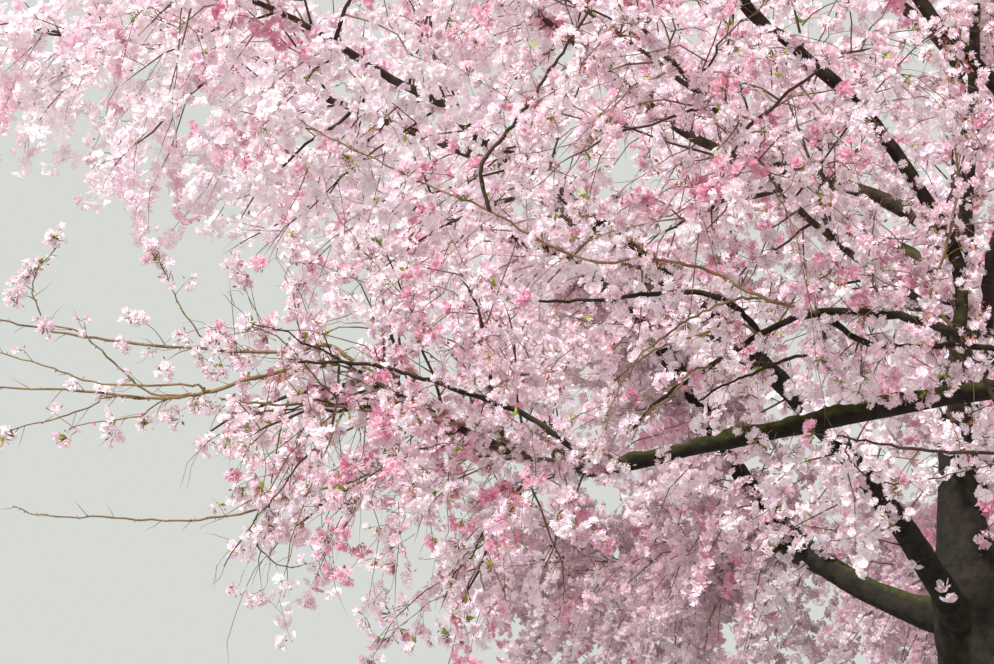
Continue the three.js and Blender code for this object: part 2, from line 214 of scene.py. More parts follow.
specials = {
    "low_1": {
        "place": {"azimuth": -124.6, "reach": 3.66, "height": 2.18, "wide": 0.75, "tall": 0.62},
        "bough": {"parent": 2, "forkAt": 0.52, "rise": 0, "base": 0.034, "tip": 0.019},
        "entry": {"at": (-1.66, -3.0, 2.08), "azimuth": 182, "slope": -13},
        "stemTip": (-2.33, -3.01, 2.335),
    },
    "middle_2": {
        "place": {"azimuth": -113.7, "reach": 3.363, "height": 2.85, "wide": 0.93, "tall": 0.74},
        "bough": {"parent": 2, "forkAt": 0.66, "rise": 8, "base": 0.028, "tip": 0.013},
        "entry": {"at": (-0.64, -2.8, 2.43), "azimuth": 184, "slope": 14},
    },
    "middle_1": {"place": {"azimuth": -135, "reach": 3.15, "height": 3.33, "wide": 1.06, "tall": 0.83}},
    "low_8": {"bough": {"parent": 5, "forkAt": 0.2}},
}
stemRule = {
    "rises": {"low": -0.1, "middle": 0.16, "upper": 0.45, "top": 0.5, "leader": 0.9},
    "reach": 0.86, "fall": 0.12, "sweep": 0.3, "tip": 0.007,
}
branchRule = {
    "count": 7, "first": 0.14, "last": 0.86, "leanFirst": 74, "leanLast": 44, "leanUneven": 8,
    "turnStep": 137.5, "turnUneven": 14, "longest": 1.15, "shortest": 0.26, "shrink": 0.9,
    "droop": 0.16, "curl": 0.3, "sweep": 0.34, "thick": 0.009, "overhang": 0.16, "clearance": 0.012,
}


def taper(base, tip):
    return lambda share: base + (tip - base) * np.asarray(share, float) ** limbRule["taper"]


def makeSpaces():
    draw = sourceDraws(crownRule["seed"])
    spaces = []
    for storeyName, storey in storeys.items():
        for k in range(storey["count"]):
            name = f"{storeyName}_{k + 1}"
            azimuth = storey["first"] + k * storey["step"] + draw(-crownRule["azimuth"], crownRule["azimuth"])
            reach = storey["reach"] * (1 + draw(-crownRule["reachShare"], crownRule["reachShare"]))
            facing = max(0.0, math.cos(math.radians(azimuth - crownRule["openAzimuth"])))
            lift = crownRule["openLift"] * facing**2 if storeyName == "middle" else 0
            height = storey["height"] + lift + draw(-crownRule["height"], crownRule["height"])
            special = specials.get(name, {})
            space = {"azimuth": azimuth, "reach": reach, "height": height, "wide": storey["wide"]}
            space.update(tall=storey["tall"], name=name, storey=storeyName, number=k, special=special)
            space.update(special.get("place", {}))
            spaces.append(space)
    spaces.append({**crownTop, "name": "top_4", "storey": "leader", "number": 0, "special": {}})
    for space in spaces:
        space["centre"] = heading(space["azimuth"]) * space["reach"] + upward * space["height"]
        space["span"] = np.array([space["wide"], space["wide"], space["tall"]])
    return spaces


spaces = makeSpaces()
spaceNamed = {space["name"]: space for space in spaces}
centres = np.array([space["centre"] for space in spaces])
spans = np.array([space["span"] for space in spaces])


# True for the points that lie in their own space and not in a neighbour's
def inSpace(points, space):
    out = np.linalg.norm((points[..., None, :] - centres) / spans, axis=-1)
    index = spaces.index(space)
    own = out[..., index]
    nearest = np.delete(out, index, axis=-1).min(-1)
    return (own <= 1) & (nearest - own > crownRule["margin"])


def entryOf(space, start):
    entry = space["special"].get("entry")
    if entry:
        return np.array(entry["at"]), heading(entry["azimuth"], entry["slope"])
    inward = heading(space["azimuth"], crownRule["entrySlopes"][space["storey"]])
    if space["storey"] != "leader":
        inward = blend(inward, unit(space["centre"] - start), crownRule["entryTurn"])
    toEdge = crownRule["entryDepth"] / np.linalg.norm(inward / space["span"])
    return space["centre"] - inward * toEdge, inward


def makeBough(name, space, parent, forkAt, leave, base, tip, sweep):
    start = pointOn(parent["curve"], forkAt)
    end, arrive = entryOf(space, start)
    curve = curveBetween(start, leave, end, arrive, sweep)
    bough = {"name": name, "curve": curve, "radiusAt": taper(base, tip), "parent": parent, "forkAt": forkAt}
    bough.update(azimuth=space["azimuth"], storey=space["storey"])
    space["bough"] = bough
    return bough


def makeTrunk():
    top = np.array([*trunk["lean"], trunk["height"]])
    arrive = heading(trunk["azimuth"], trunk["slope"])
    curve = curveBetween(np.zeros(3), upward, top, arrive, trunk["sweep"])

    def radiusAt(share, angle=0.0):
        fade = np.exp(-np.asarray(share) * trunk["height"] / trunk["flareHeight"])
        lobes = 1 + trunk["lobeShare"] * np.cos(trunk["lobes"] * np.asarray(angle))
        plain = trunk["footRadius"] + (trunk["topRadius"] - trunk["footRadius"]) * np.asarray(share)
        return plain + trunk["flareDepth"] * fade * lobes

    return {"name": "trunk", "curve": curve, "radiusAt": radiusAt}


def makeLeader(foot):
    rule = limbRule["leader"]
    space = spaceNamed["top_4"]
    leave = wayOn(foot["curve"], 1)
    start = pointOn(foot["curve"], 1) + leave * limbRule["seat"]
    end, arrive = entryOf(space, start)
    slim = taper(rule["base"], rule["tip"])
    collar = trunk["topRadius"] - rule["base"]
    leader = {"name": "leader_bough", "storey": "leader"}
    leader["curve"] = curveBetween(start, leave, end, arrive, limbRule["sweep"])
    leader["radiusAt"] = lambda share: slim(share) + collar * np.exp(-np.asarray(share) * rule["collarFade"])
    space["bough"] = leader
    return leader


def makeSideBough(space, mains, leader):
    def turnTo(main):
        return (main["azimuth"] - space["azimuth"]) % 360

    def gapTo(main):
        return min(turnTo(main), 360 - turnTo(main))

    parents = {"low": min(mains, key=gapTo), "middle": min(mains, key=turnTo)}
    special = space["special"].get("bough", {})
    parent = mains[special["parent"] - 1] if special else parents.get(space["storey"], leader)
    rule = sideBoughs[space["storey"]]
    forkAt = rule["forkAt"] + rule["forkStep"] * (space["number"] % rule["stepsRound"])
    chosen = {**rule, "forkAt": forkAt, "tip": limbRule["sideTip"], **special}
    outward = heading(space["azimuth"], chosen["rise"])
    leave = blend(wayOn(parent["curve"], chosen["forkAt"]), outward, limbRule["outward"])
    name = f"{space['storey']}_bough_{space['number'] + 1}"
    sizes = (chosen["base"], chosen["tip"], limbRule["sweep"])
    return makeBough(name, space, parent, chosen["forkAt"], leave, *sizes)


def makeLimbs():
    foot = makeTrunk()
    leader = makeLeader(foot)
    mains = []
    for k, rule in enumerate(mainBoughs):
        space = spaceNamed[f"middle_{2 * k + 1}"]
        leave = heading(space["azimuth"], rule["slope"])
        forkAt = rule["forkHeight"] / trunk["height"]
        sizes = (limbRule["main"]["base"], limbRule["main"]["tip"], rule["sweep"])
        mains.append(makeBough(f"main_bough_{k + 1}", space, foot, forkAt, leave, *sizes))
    sides = [makeSideBough(space, mains, leader) for space in spaces if "bough" not in space]
    return foot, leader, mains, sides


def makeStem(space):
    bough = space["bough"]
    leave = wayOn(bough["curve"], 1)
    root = pointOn(bough["curve"], 1) + leave * limbRule["seat"]
    rise = stemRule["rises"][space["storey"]]
    out = heading(space["azimuth"]) * math.sqrt(1 - rise * rise) * space["wide"]
    far = space["centre"] + stemRule["reach"] * (out + upward * rise * space["tall"])
    far = np.array(space["special"].get("stemTip", far))
    arrive = unit(far - space["centre"] - upward * stemRule["fall"] * space["tall"])
    curve = curveBetween(root, leave, far, arrive, stemRule["sweep"])
    return {"curve": curve, "radiusAt": taper(float(bough["radiusAt"](1)), stemRule["tip"])}


def piecesOf(limb):
    shares = np.linspace(0, 1, 9)
    points = pointOn(limb["curve"], shares)
    return points[:-1], points[1:], np.asarray(limb["radiusAt"](shares[:-1]))


def clearOfLimbs(points, radius, obstacles):
    starts, ends, thick = obstacles
    along = ends - starts
    offset = points[..., None, :] - starts
    share = np.clip((offset * along).sum(-1) / (along * along).sum(-1), 0, 1)
    gap = np.linalg.norm(offset - share[..., None] * along, axis=-1)
    return (gap > thick + radius + branchRule["clearance"]).all(-1)


foot, leader, mains, sides = makeLimbs()
limbs = [foot, leader, *mains, *sides]
stems = [makeStem(space) for space in spaces]
limbPieces = [piecesOf(limb) for limb in limbs]
stemPieces = [piecesOf(stem) for stem in stems]


def obstaclesOf(space):
    index = spaces.index(space)
    near = limbPieces + [piece for k, piece in enumerate(stemPieces) if k != index]
    return tuple(np.concatenate([piece[k] for piece in near]) for k in range(3))


# A branch of a stem: as long as its space leaves it, drooping towards its end
def makeBranch(space, stem, share, turn, lean, obstacles, longest):
    start = pointOn(stem["curve"], share)
    along = wayOn(stem["curve"], share)
    leave = along * math.cos(lean) + sideOf(along, turn) * math.sin(lean)
    length = longest
    while length > branchRule["shortest"]:
        end = start + leave * length - upward * branchRule["droop"] * length
        arrive = blend(unit(end - start), -upward, branchRule["curl"])
        curve = curveBetween(start, leave, end, arrive, branchRule["sweep"])
        points = pointOn(curve, np.arange(1, 9) / 8)
        overhang = end + arrive * branchRule["overhang"]
        inside = inSpace(np.vstack([points, overhang]), space).all()
        if inside and clearOfLimbs(points, branchRule["thick"], obstacles).all():
            return curve
        length *= branchRule["shrink"]
    return None


# Branches up a stem, turned round it step by step
def makeBranches(space, stem, draw, count, longest, obstacles):
    rule = branchRule
    found = []
    turn = draw(0, 360)
    for k in range(count):
        upStem = k / (count - 1)
        share = rule["first"] + (rule["last"] - rule["first"]) * upStem
        turn += rule["turnStep"] + draw(-rule["turnUneven"], rule["turnUneven"])
        lean = rule["leanFirst"] + (rule["leanLast"] - rule["leanFirst"]) * upStem
        lean += draw(-rule["leanUneven"], rule["leanUneven"])
        bearing = (share, math.radians(turn), math.radians(lean))
        curve = makeBranch(space, stem, *bearing, obstacles, longest)
        if curve is not None:
            found.append(curve)
    return found


# Piles collect the points and three-cornered faces of one piece
class Pile:
    def __init__(self):
        self.points, self.faces, self.count = [], [], 0

    def add(self, points, faces):
        self.points.append(np.asarray(points, float).reshape(-1, 3))
        self.faces.append(np.asarray(faces).reshape(-1, 3) + self.count)
        self.count += len(self.points[-1])

    # The same faces on each of many sets of points
    def addMany(self, points, faces):
        offsets = np.arange(len(points)) * points.shape[1]
        self.add(points, faces[None] + offsets[:, None, None])

    def size(self):
        return sum(len(faces) for faces in self.faces)


def addPiece(name, pile, material, nodes=()):
    points = np.concatenate(pile.points).astype(np.float32)
    faces = np.concatenate(pile.faces).astype(np.int32)
    mesh = bpy.data.meshes.new(name)
    mesh.vertices.add(len(points))
    mesh.vertices.foreach_set("co", points.ravel())
    mesh.loops.add(faces.size)
    mesh.loops.foreach_set("vertex_index", faces.ravel())
    mesh.polygons.add(len(faces))
    mesh.polygons.foreach_set("loop_start", np.arange(0, faces.size, 3, dtype=np.int32))
    mesh.polygons.foreach_set("use_smooth", np.ones(len(faces), bool))
    mesh.materials.append(material)
    mesh.update(calc_edges=True)
    piece = bpy.data.objects.new(name, mesh)
    bpy.context.scene.collection.objects.link(piece)
    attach(piece, "root")
    if nodes:
        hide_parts(*nodes)
    print("  piece", name, len(faces), "triangles")


# Smooth random values from -1 to 1, in lumps of about one unit
lumpRule = {
    "mix": (73856093, 19349663, 83492791), "seedStep": 9176, "factor": 1274126177, "shifts": (13, 15),
    "whole": 0xFFFFFFFF, "kept": 0xFFFF,
}


def lumps(points, seed):
    rule = lumpRule
    firstShift, lastShift = rule["shifts"]
    base = np.floor(points).astype(np.int64)
    part = points - base
    part = part * part * (3 - 2 * part)
    total = np.zeros(points.shape[:-1])
    for corner in np.ndindex(2, 2, 2):
        spot = base + np.array(corner)
        mixed = (spot * np.array(rule["mix"])).sum(-1) + seed * rule["seedStep"]
        mixed = ((mixed ^ (mixed >> firstShift)) * rule["factor"]) & rule["whole"]
        value = ((mixed ^ (mixed >> lastShift)) & rule["kept"]) / (rule["kept"] / 2) - 1
        weight = np.where(np.array(corner) == 1, part, 1 - part).prod(-1)
        total += value * weight
    return total


# The faces between rings of points, and over the end of a row of rings
def ringFaces(rings, sides):
    ring, side = np.meshgrid(np.arange(rings - 1), np.arange(sides), indexing="ij")
    here, beside = ring * sides + side, ring * sides + (side + 1) % sides
    lower = np.stack([here, beside, beside + sides], -1).reshape(-1, 3)
    upper = np.stack([here, beside + sides, here + sides], -1).reshape(-1, 3)
    return np.concatenate([lower, upper])


def capFaces(first, centre, sides, outward):
    near = first + np.arange(sides)
    far = first + (np.arange(sides) + 1) % sides
    middle = np.full(sides, centre)
    return np.stack([near, far, middle] if outward else [far, near, middle], -1)


def ringAngles(sides):
    return np.arange(sides) / sides * 2 * math.pi


# Ways out from a line to the corners of the rings round it
def spokes(across, beside, sides):
    angle = ringAngles(sides)[:, None]
    return across[..., None, :] * np.cos(angle) + beside[..., None, :] * np.sin(angle)


# Two directions square to a line all along it, from the axis that it follows least
def squareTo(along):
    reference = np.eye(3)[np.abs(along.mean(-2)).argmin(-1)][..., None, :]
    across = unit(reference - along * dot(along, reference))
    return across, np.cross(along, across)


# How far the forms of the bark stand out on each kind of limb, and their sizes along and round it
barkRelief = {
    "trunk": {"sides": 60, "step": 0.018, "ridge": 0.0075, "lump": 0.014, "band": 0.0016, "moss": 0.002},
    "leader": {"sides": 20, "step": 0.032, "ridge": 0.0040, "lump": 0.007, "band": 0.0013, "moss": 0.001},
    "main": {"sides": 16, "step": 0.032, "ridge": 0.0024, "lump": 0.005, "band": 0.0012, "moss": 0.003},
    "side": {"sides": 9, "step": 0.042, "ridge": 0.0010, "lump": 0.0030, "band": 0.0009, "moss": 0.002},
    "mossy": {"sides": 22, "step": 0.013, "ridge": 0.0016, "lump": 0.0055, "band": 0.0008, "moss": 0.0075},
    "leastRings": 8, "upright": 0.9, "joinAt": {"trunk": 1, "leader": 0}, "plainEnd": 0.16,
    "collarDepth": 0.3, "collarFade": 0.10,
    "ridgeSize": (0.16, 0.022), "ridgeGain": 1.6, "ridgeMiddle": 0.35, "ridgesAbove": 0.35, "ridgeFade": 0.6,
    "lumpSize": (0.11, 0.07), "bandSize": (0.009, 0.05),
    "mossFrom": 0.25, "mossFade": 0.4, "cushionSize": (0.035, 0.02), "cushionFill": 0.35,
    "tuftSize": (0.008, 0.006), "tuftShare": 0.5,
}


# Two directions square to a limb, carried on from ring to ring without a twist
def carriedAlong(along):
    across = np.array([1.0, 0, 0]) if abs(along[0, 2]) > barkRelief["upright"] else upward
    acrossAll = []
    for way in along:
        across = unit(across - way * dot(across, way))
        acrossAll.append(across)
    acrossAll = np.array(acrossAll)
    return acrossAll, np.cross(along, acrossAll)


# A limb's radius under its bark, wider where a bough leaves its parent
def smoothRadius(limb, look, shares, angle, run):
    if look == "trunk":
        return limb["radiusAt"](shares[:, None], angle[None])
    radius = np.repeat(np.asarray(limb["radiusAt"](shares))[:, None], len(angle), 1)
    if "parent" not in limb:
        return radius
    buried = float(limb["parent"]["radiusAt"](limb["forkAt"]))
    fade = np.exp(-np.maximum(run - buried, 0) / barkRelief["collarFade"])
    return radius * (1 + barkRelief["collarDepth"] * fade)


# The radius with its bark: upright ridges, low lumps, the level bands of cherry bark, and moss on top
def barkRadius(look, run, radius, angle, faceUp, seed):
    rule, relief = barkRelief, barkRelief[look]
    roundX, roundY = radius * np.cos(angle), radius * np.sin(angle)

    def form(sizeName, step):
        longWay, roundWay = rule[sizeName]
        return lumps(np.stack([run / longWay, roundX / roundWay, roundY / roundWay], -1), seed + step)

    fading = 1.0
    if look == "trunk":
        fading = rule["ridgesAbove"] + (1 - rule["ridgesAbove"]) * np.exp(-run / rule["ridgeFade"])
    ridges = np.abs(form("ridgeSize", 0)) - rule["ridgeMiddle"]
    rise = relief["ridge"] * ridges * fading * rule["ridgeGain"]
    rise = rise + relief["lump"] * form("lumpSize", 1)
    rise = rise + relief["band"] * form("bandSize", 2)
    if look in rule["joinAt"]:
        fromJoin = np.abs(run - run[-1] * rule["joinAt"][look])
        rise = rise * np.clip(fromJoin / rule["plainEnd"], 0, 1)
    top = np.clip((faceUp - rule["mossFrom"]) / rule["mossFade"], 0, 1)
    cushions = np.clip(form("cushionSize", 3) + rule["cushionFill"], 0, 1)
    moss = relief["moss"] * top * cushions * (1 + rule["tuftShare"] * form("tuftSize", 4))
    return radius + rise + moss


# A limb with its bark. The trunk and the leader are plain and open where they join
def addLimb(pile, limb, look, seed):
    joinAt = barkRelief["joinAt"].get(look)
    sidesRound = barkRelief[look]["sides"]
    length = float(lengthOf(limb["curve"]))
    rings = max(barkRelief["leastRings"], int(length / barkRelief[look]["step"]))
    shares = np.linspace(0, 1, rings)
    angle = ringAngles(sidesRound)
    centre = pointOn(limb["curve"], shares)
    out = spokes(*carriedAlong(wayOn(limb["curve"], shares)), sidesRound)
    run = np.broadcast_to((shares * length)[:, None], (rings, sidesRound))
    radius = smoothRadius(limb, look, shares, angle, run)
    radius = barkRadius(look, run, radius, angle, out[..., 2], seed)
    points = centre[:, None] + out * radius[..., None]
    if look == "trunk":
        points[0, :, 2] = 0
    last = rings * sidesRound
    faces = [ringFaces(rings, sidesRound)]
    if joinAt != 0:
        faces.append(capFaces(0, last, sidesRound, False))
    if joinAt != 1:
        faces.append(capFaces(last - sidesRound, last + 1, sidesRound, True))
    pile.add(np.vstack([points.reshape(-1, 3), centre[:1], centre[-1:]]), np.concatenate(faces))


# Many twigs at once, tapering to a point, each with a slight wander. Three-sided ones have a closed foot
def addTwigs(pile, curves, baseRadii, tipRadii, rings, sides, wander, rng):
    count = len(curves)
    if not count:
        return
    shares = np.linspace(0, 1, rings + 1)
    centre = pointOn(curves[:, None], shares)
    sway = rng.normal(0, 1, centre.shape) * (wander * lengthOf(curves))[:, None, None]
    sway[:, 0] = 0
    centre = centre + sway
    across, beside = squareTo(wayOn(curves[:, None], shares))
    radii = baseRadii[:, None] + (tipRadii - baseRadii)[:, None] * shares[:-1] ** limbRule["taper"]
    rims = centre[:, :-1, None] + spokes(across[:, :-1], beside[:, :-1], sides) * radii[..., None, None]
    last = rings * sides
    faces = [ringFaces(rings, sides), capFaces(last - sides, last, sides, True)]
    if sides == 3:
        faces.append([[2, 1, 0]])
    pile.addMany(np.concatenate([rims.reshape(count, -1, 3), centre[:, -1:]], 1), np.concatenate(faces))


# Copies of one small shape, each with its own place, turn and size
def addCopies(pile, shape, places, frames, sizes):
    if not len(places):
        return
    points, faces = shape
    turned = np.einsum("nij,pj->npi", frames, points) * sizes[:, None, None] + places[:, None]
    pile.addMany(turned, faces)


# Frames whose third axis faces the given way, rolled at random
def framesFacing(facing, rng):
    other = unit(rng.normal(0, 1, facing.shape))
    first = unit(np.cross(facing, other))
    return np.stack([first, np.cross(facing, first), facing], -1)


# Whorls of petals, drawn one radius wide and facing +Z. A flower's opening sets the cup of each whorl
petalOutlines = {
    "wedge": {
        "along": (0.04, 0.90, 0.72, 0.90), "across": (0, -0.29, 0, 0.29), "faces": ((0, 1, 2), (0, 2, 3)),
    },
    "fan": {"along": (0.02, 0.87, 0.87), "across": (0, -0.42, 0.42), "faces": ((0, 1, 2),)},
}
outerFan = {"outline": "fan", "scale": 1.0, "cup": (1, 0), "fold": 0.15, "lift": 0, "uneven": 0.5}
whorls = {
    "fineOuter": {
        "outline": "wedge", "count": 7, "scale": 1.0, "cup": (1, 0), "fold": 0.2, "lift": 0, "uneven": 0.6,
    },
    "fineInner": {
        "outline": "fan", "count": 5, "scale": 0.70, "cup": (1.4, 0.3), "fold": 0.25, "lift": 0.03,
        "uneven": 0.8,
    },
    "mediumOuter": {**outerFan, "count": 6},
    "mediumInner": {
        "outline": "fan", "count": 3, "scale": 0.60, "cup": (1.5, 0.3), "fold": 0.2, "lift": 0.03,
        "uneven": 0.6,
    },
    "plain": {**outerFan, "count": 5},
}
petalRule = {"turn": 0.3, "stretch": 0.1, "curve": 1.6, "drawnIn": 0.22}
openings = {"seed": 7, "near": (0.20, 0.35, 0.50, 0.70, 0.95), "further": (0.22, 0.45, 0.80)}


def makeWhorl(kind, opening, rng):
    rule, uneven = whorls[kind], whorls[kind]["uneven"]
    outline = petalOutlines[rule["outline"]]
    along, across = np.array(outline["along"]), np.array(outline["across"])
    cup = opening * rule["cup"][0] + rule["cup"][1]
    points, faces = [], []
    for k in range(rule["count"]):
        angle = (k + rng.uniform(-uneven, uneven) * petalRule["turn"]) / rule["count"] * 2 * math.pi
        rising = cup * (1 + rng.uniform(-uneven, uneven))
        reach = along * rule["scale"] * (1 + petalRule["stretch"] * rng.uniform(-uneven, uneven))
        high = rule["lift"] + rising * reach ** petalRule["curve"] + rule["fold"] * np.abs(across)
        level = reach * (1 - petalRule["drawnIn"] * rising * reach)
        wide = across * rule["scale"]
        x = level * math.cos(angle) - wide * math.sin(angle)
        y = level * math.sin(angle) + wide * math.cos(angle)
        faces.append(np.array(outline["faces"]) + len(along) * k)
        points.append(np.stack([x, y, high], -1))
    return np.concatenate(points), np.concatenate(faces)


# Flowers with two whorls for the front, and plainer ones further off
def makeFlowerShapes():
    rng = np.random.default_rng(openings["seed"])
    shapes = {"fine": [], "medium": [], "plain": []}
    for opening in openings["near"]:
        shapes["fine"].append([makeWhorl(kind, opening, rng) for kind in ("fineOuter", "fineInner")])
    for opening in openings["further"]:
        shapes["medium"].append([makeWhorl(kind, opening, rng) for kind in ("mediumOuter", "mediumInner")])
        shapes["plain"].append([makeWhorl("plain", opening, rng), None])
    return shapes


def makeBud():
    points = np.array([[0, 0, -1], [0.45, 0, 0.1], [-0.22, 0.39, 0.1], [-0.22, -0.39, 0.1], [0, 0, 1.0]])
    return points, np.array([[0, 2, 1], [0, 3, 2], [0, 1, 3], [4, 1, 2], [4, 2, 3], [4, 3, 1]])


def makeLeaf():
    points = np.array([[0, 0, 0], [-0.26, 0.1, 0.5], [0, -0.05, 1.0], [0.26, 0.1, 0.5], [0, -0.06, 0.5]])
    return points, np.array([[0, 4, 1], [1, 4, 2], [0, 3, 4], [3, 2, 4]])


# Even steps along many curves: whose each step is, its number, and how many its curve has
def stepsAlong(lengths, gap):
    numbers = np.maximum((lengths / gap).astype(int), 1)
    owner = np.repeat(np.arange(len(lengths)), numbers)
    step = np.arange(len(owner)) - np.repeat(np.cumsum(numbers) - numbers, numbers)
    return owner, step, numbers[owner]


sideTwigRule = {
    "place": (0.1, 0.9), "turnStep": 2.4, "turnUneven": 0.35, "leanLess": 14, "bend": 0.4, "sag": 1.5,
    "sweep": 0.4, "ofParent": 0.6, "thinner": 0.6, "tries": (1.0, 0.5), "testAt": (0.5, 0.8, 1.0),
}


# Side twigs of many parents at once, spaced along them and turned round them.
# A twig that would leave the mass's space is tried once more at half its length, then skipped.
def makeSideTwigs(parents, parentRadii, rule, space, rng):
    curves, radii, common = [], [], sideTwigRule
    if not len(parents):
        return np.zeros((0, 4, 3)), np.zeros(0)
    first = rule["from"]
    owner, step, number = stepsAlong(lengthOf(parents) * (1 - first), rule["gap"])
    count = len(owner)
    share = first + (1 - first) * (step + rng.uniform(*common["place"], count)) / number
    turn = rng.uniform(0, 2 * math.pi, len(parents))[owner] + step * common["turnStep"]
    turn = turn + rng.normal(0, common["turnUneven"], count)
    lean = np.radians(rng.uniform(*rule["lean"], count) - common["leanLess"] * share)[:, None]
    length = rng.uniform(*rule["length"], count) * (1 - rule["shorter"] * share)
    start, along = pointOn(parents[owner], share), wayOn(parents[owner], share)
    leave = along * np.cos(lean) + sideOf(along, turn) * np.sin(lean)
    droop = rng.uniform(*rule["droop"], count)
    bend = rng.normal(0, common["bend"], (count, 3))
    for attempt in common["tries"]:
        reach = (length * attempt)[:, None]
        end = start + leave * reach - upward * reach * droop[:, None]
        sag = upward * (droop[:, None] * common["sag"])
        arrive = unit(unit(end - start) - sag + bend[count - len(start):])
        curve = curveBetween(start, leave, end, arrive, common["sweep"])
        inside = np.full(len(curve), True)
        if space:
            inside = inSpace(pointOn(curve[:, None], np.array(common["testAt"])), space).all(-1)
        thick = parentRadii[owner] * (1 - common["thinner"] * share) * common["ofParent"]
        curves.append(curve[inside])
        radii.append(np.clip(thick, *rule["thick"])[inside])
        keep = ~inside
        owner, share, leave, start = owner[keep], share[keep], leave[keep], start[keep]
        length, droop = length[keep], droop[keep]
    return np.concatenate(curves), np.concatenate(radii)


# Detail falls off with distance from the part of the crown that the photo shows
detailRule = {
    "near": ("low_1", "middle_2"), "middle": ("middle_1",),
    "inView": ("middle_9", "middle_10", "upper_4", "upper_5"),
    "backdrop": ("low_7", "low_8", "middle_7", "middle_8"),
    "spot": (-1.85, -3.05, 2.5), "boughs": 3.6,
}
growth = {
    "near": {
        "fill": 14, "fillLength": 1.0, "stemRings": 14, "branchRings": 8, "wander": 0.011,
        "side": {"from": 0.08, "gap": 0.055, "lean": (38, 78), "length": (0.20, 0.52), "shorter": 0.45,
                 "droop": (0.0, 0.75), "thick": (0.0013, 0.0034)},
        "fine": {"from": 0.15, "gap": 0.075, "lean": (30, 70), "length": (0.05, 0.17), "shorter": 0.3,
                 "droop": (-0.3, 0.6), "thick": (0.0008, 0.0015)},
        "whip": {"from": 0.35, "gap": 0.21, "lean": (20, 75), "length": (0.25, 0.58), "shorter": 0.2,
                 "droop": (-0.3, 0.6), "thick": (0.0015, 0.0026)},
        "sideRings": 5, "clusterGap": 0.080, "clusterKeep": 0.66, "flowers": (5, 9),
        "flowerRadius": 0.0152, "stalk": 0.0205, "shape": "fine", "fineTo": -3.0,
    },
    "middle": {
        "fill": 12, "fillLength": 1.0, "stemRings": 10, "branchRings": 6, "wander": 0.01,
        "side": {"from": 0.1, "gap": 0.062, "lean": (38, 78), "length": (0.22, 0.52), "shorter": 0.45,
                 "droop": (0.0, 0.6), "thick": (0.0015, 0.0036)},
        "whip": {"from": 0.35, "gap": 0.24, "lean": (20, 75), "length": (0.25, 0.60), "shorter": 0.2,
                 "droop": (-0.3, 0.6), "thick": (0.0014, 0.0024)},
        "sideRings": 4, "clusterGap": 0.057, "clusterKeep": 0.8, "flowers": (4, 8),
        "flowerRadius": 0.0182, "stalk": 0.024, "shape": "medium",
    },
    "bough": {
        "clusterGap": 0.060, "clusterKeep": 0.85, "flowers": (4, 8), "flowerRadius": 0.0190,
        "stalk": 0.025, "shape": "medium",
    },
    "far": {
        "fill": 11, "fillLength": 1.0, "stemRings": 8, "branchRings": 5, "wander": 0.01,
        "side": {"from": 0.12, "gap": 0.090, "lean": (38, 78), "length": (0.24, 0.52), "shorter": 0.4,
                 "droop": (0.0, 0.5), "thick": (0.0018, 0.0042)},
        "sideRings": 3, "clusterGap": 0.070, "clusterKeep": 0.85, "flowers": (4, 6),
        "flowerRadius": 0.036, "stalk": 0.044, "shape": "plain",
    },
}
growth["inView"] = {
    **growth["far"], "fill": 14, "clusterGap": 0.049, "flowers": (4, 8), "flowerRadius": 0.0255,
    "stalk": 0.034, "side": {**growth["far"]["side"], "gap": 0.076},
}
growth["backdrop"] = {
    **growth["far"], "fill": 18, "fillLength": 1.05, "clusterGap": 0.052, "clusterKeep": 0.9,
    "flowers": (4, 8), "flowerRadius": 0.0255, "stalk": 0.036,
    "side": {**growth["far"]["side"], "from": 0.08, "gap": 0.074},
}
# Shares of the petal shades for each tone. The shaded tone, for the backdrop masses and the boughs behind
# them, is mostly the greyed, darker mauve petal colour, which is painted shade
shadeShares = {
    "bright": {"shell": 0.52, "blush": 0.34, "rosy": 0.11, "deep": 0.03, "paintedShadeMauve": 0},
    "far": {"shell": 0.34, "blush": 0.42, "rosy": 0.19, "deep": 0.05, "paintedShadeMauve": 0},
    "shaded": {"shell": 0.08, "blush": 0.28, "rosy": 0.14, "deep": 0.04, "paintedShadeMauve": 0.46},
    "rich": {"shell": 0.08, "blush": 0.32, "rosy": 0.40, "deep": 0.20, "paintedShadeMauve": 0},
}
shadeNames = list(shadeShares["bright"])
innerShade = (1, 2, 3, 3, 2)  # the number of the inner petals' shade, a step deeper where there is one
pileGroups = ("low", "middle", "high")
crownMiddle = np.array([0, 0, 2.9])


def detailOf(space):
    named = [detail for detail in growth if space["name"] in detailRule.get(detail, ())]
    return named[0] if named else "far"


def groupOf(storey):
    return storey if storey in pileGroups else "high"


# How much blossom a place carries: little on the bare shoots at the crown's open left edge,
# and little in the corner above them, between pixels of the photo
openEdge = {"mass": "low_1", "bareAt": -2.70, "fullAt": -2.40, "least": 0.03, "bareTwigs": 0.08}
openCorner = {
    "masses": ("middle_1", "middle_9"), "leftOf": 318, "below": 222, "above": 352, "soft": 26.0,
    "least": 0.05,
}


def cornerShare(points):
    across, down = inPhoto(points)
    reaches = (openCorner["leftOf"] - across, down - openCorner["below"], openCorner["above"] - down)
    inside = np.prod([np.clip(reach / openCorner["soft"], 0, 1) for reach in reaches], axis=0)
    return 1 - inside * (1 - openCorner["least"])


def bloomShare(points, massName):
    if massName in openCorner["masses"]:
        return cornerShare(points)
    if massName != openEdge["mass"]:
        return np.ones(len(points))
    share = (points[:, 0] - openEdge["bareAt"]) / (openEdge["fullAt"] - openEdge["bareAt"])
    return np.clip(share, openEdge["least"], 1)


piles = {group: {} for group in pileGroups}


def pileFor(group, kind):
    return piles[group].setdefault(kind, Pile())


def filledPiles(group):
    return {kind: pile for kind, pile in piles[group].items() if pile.count}


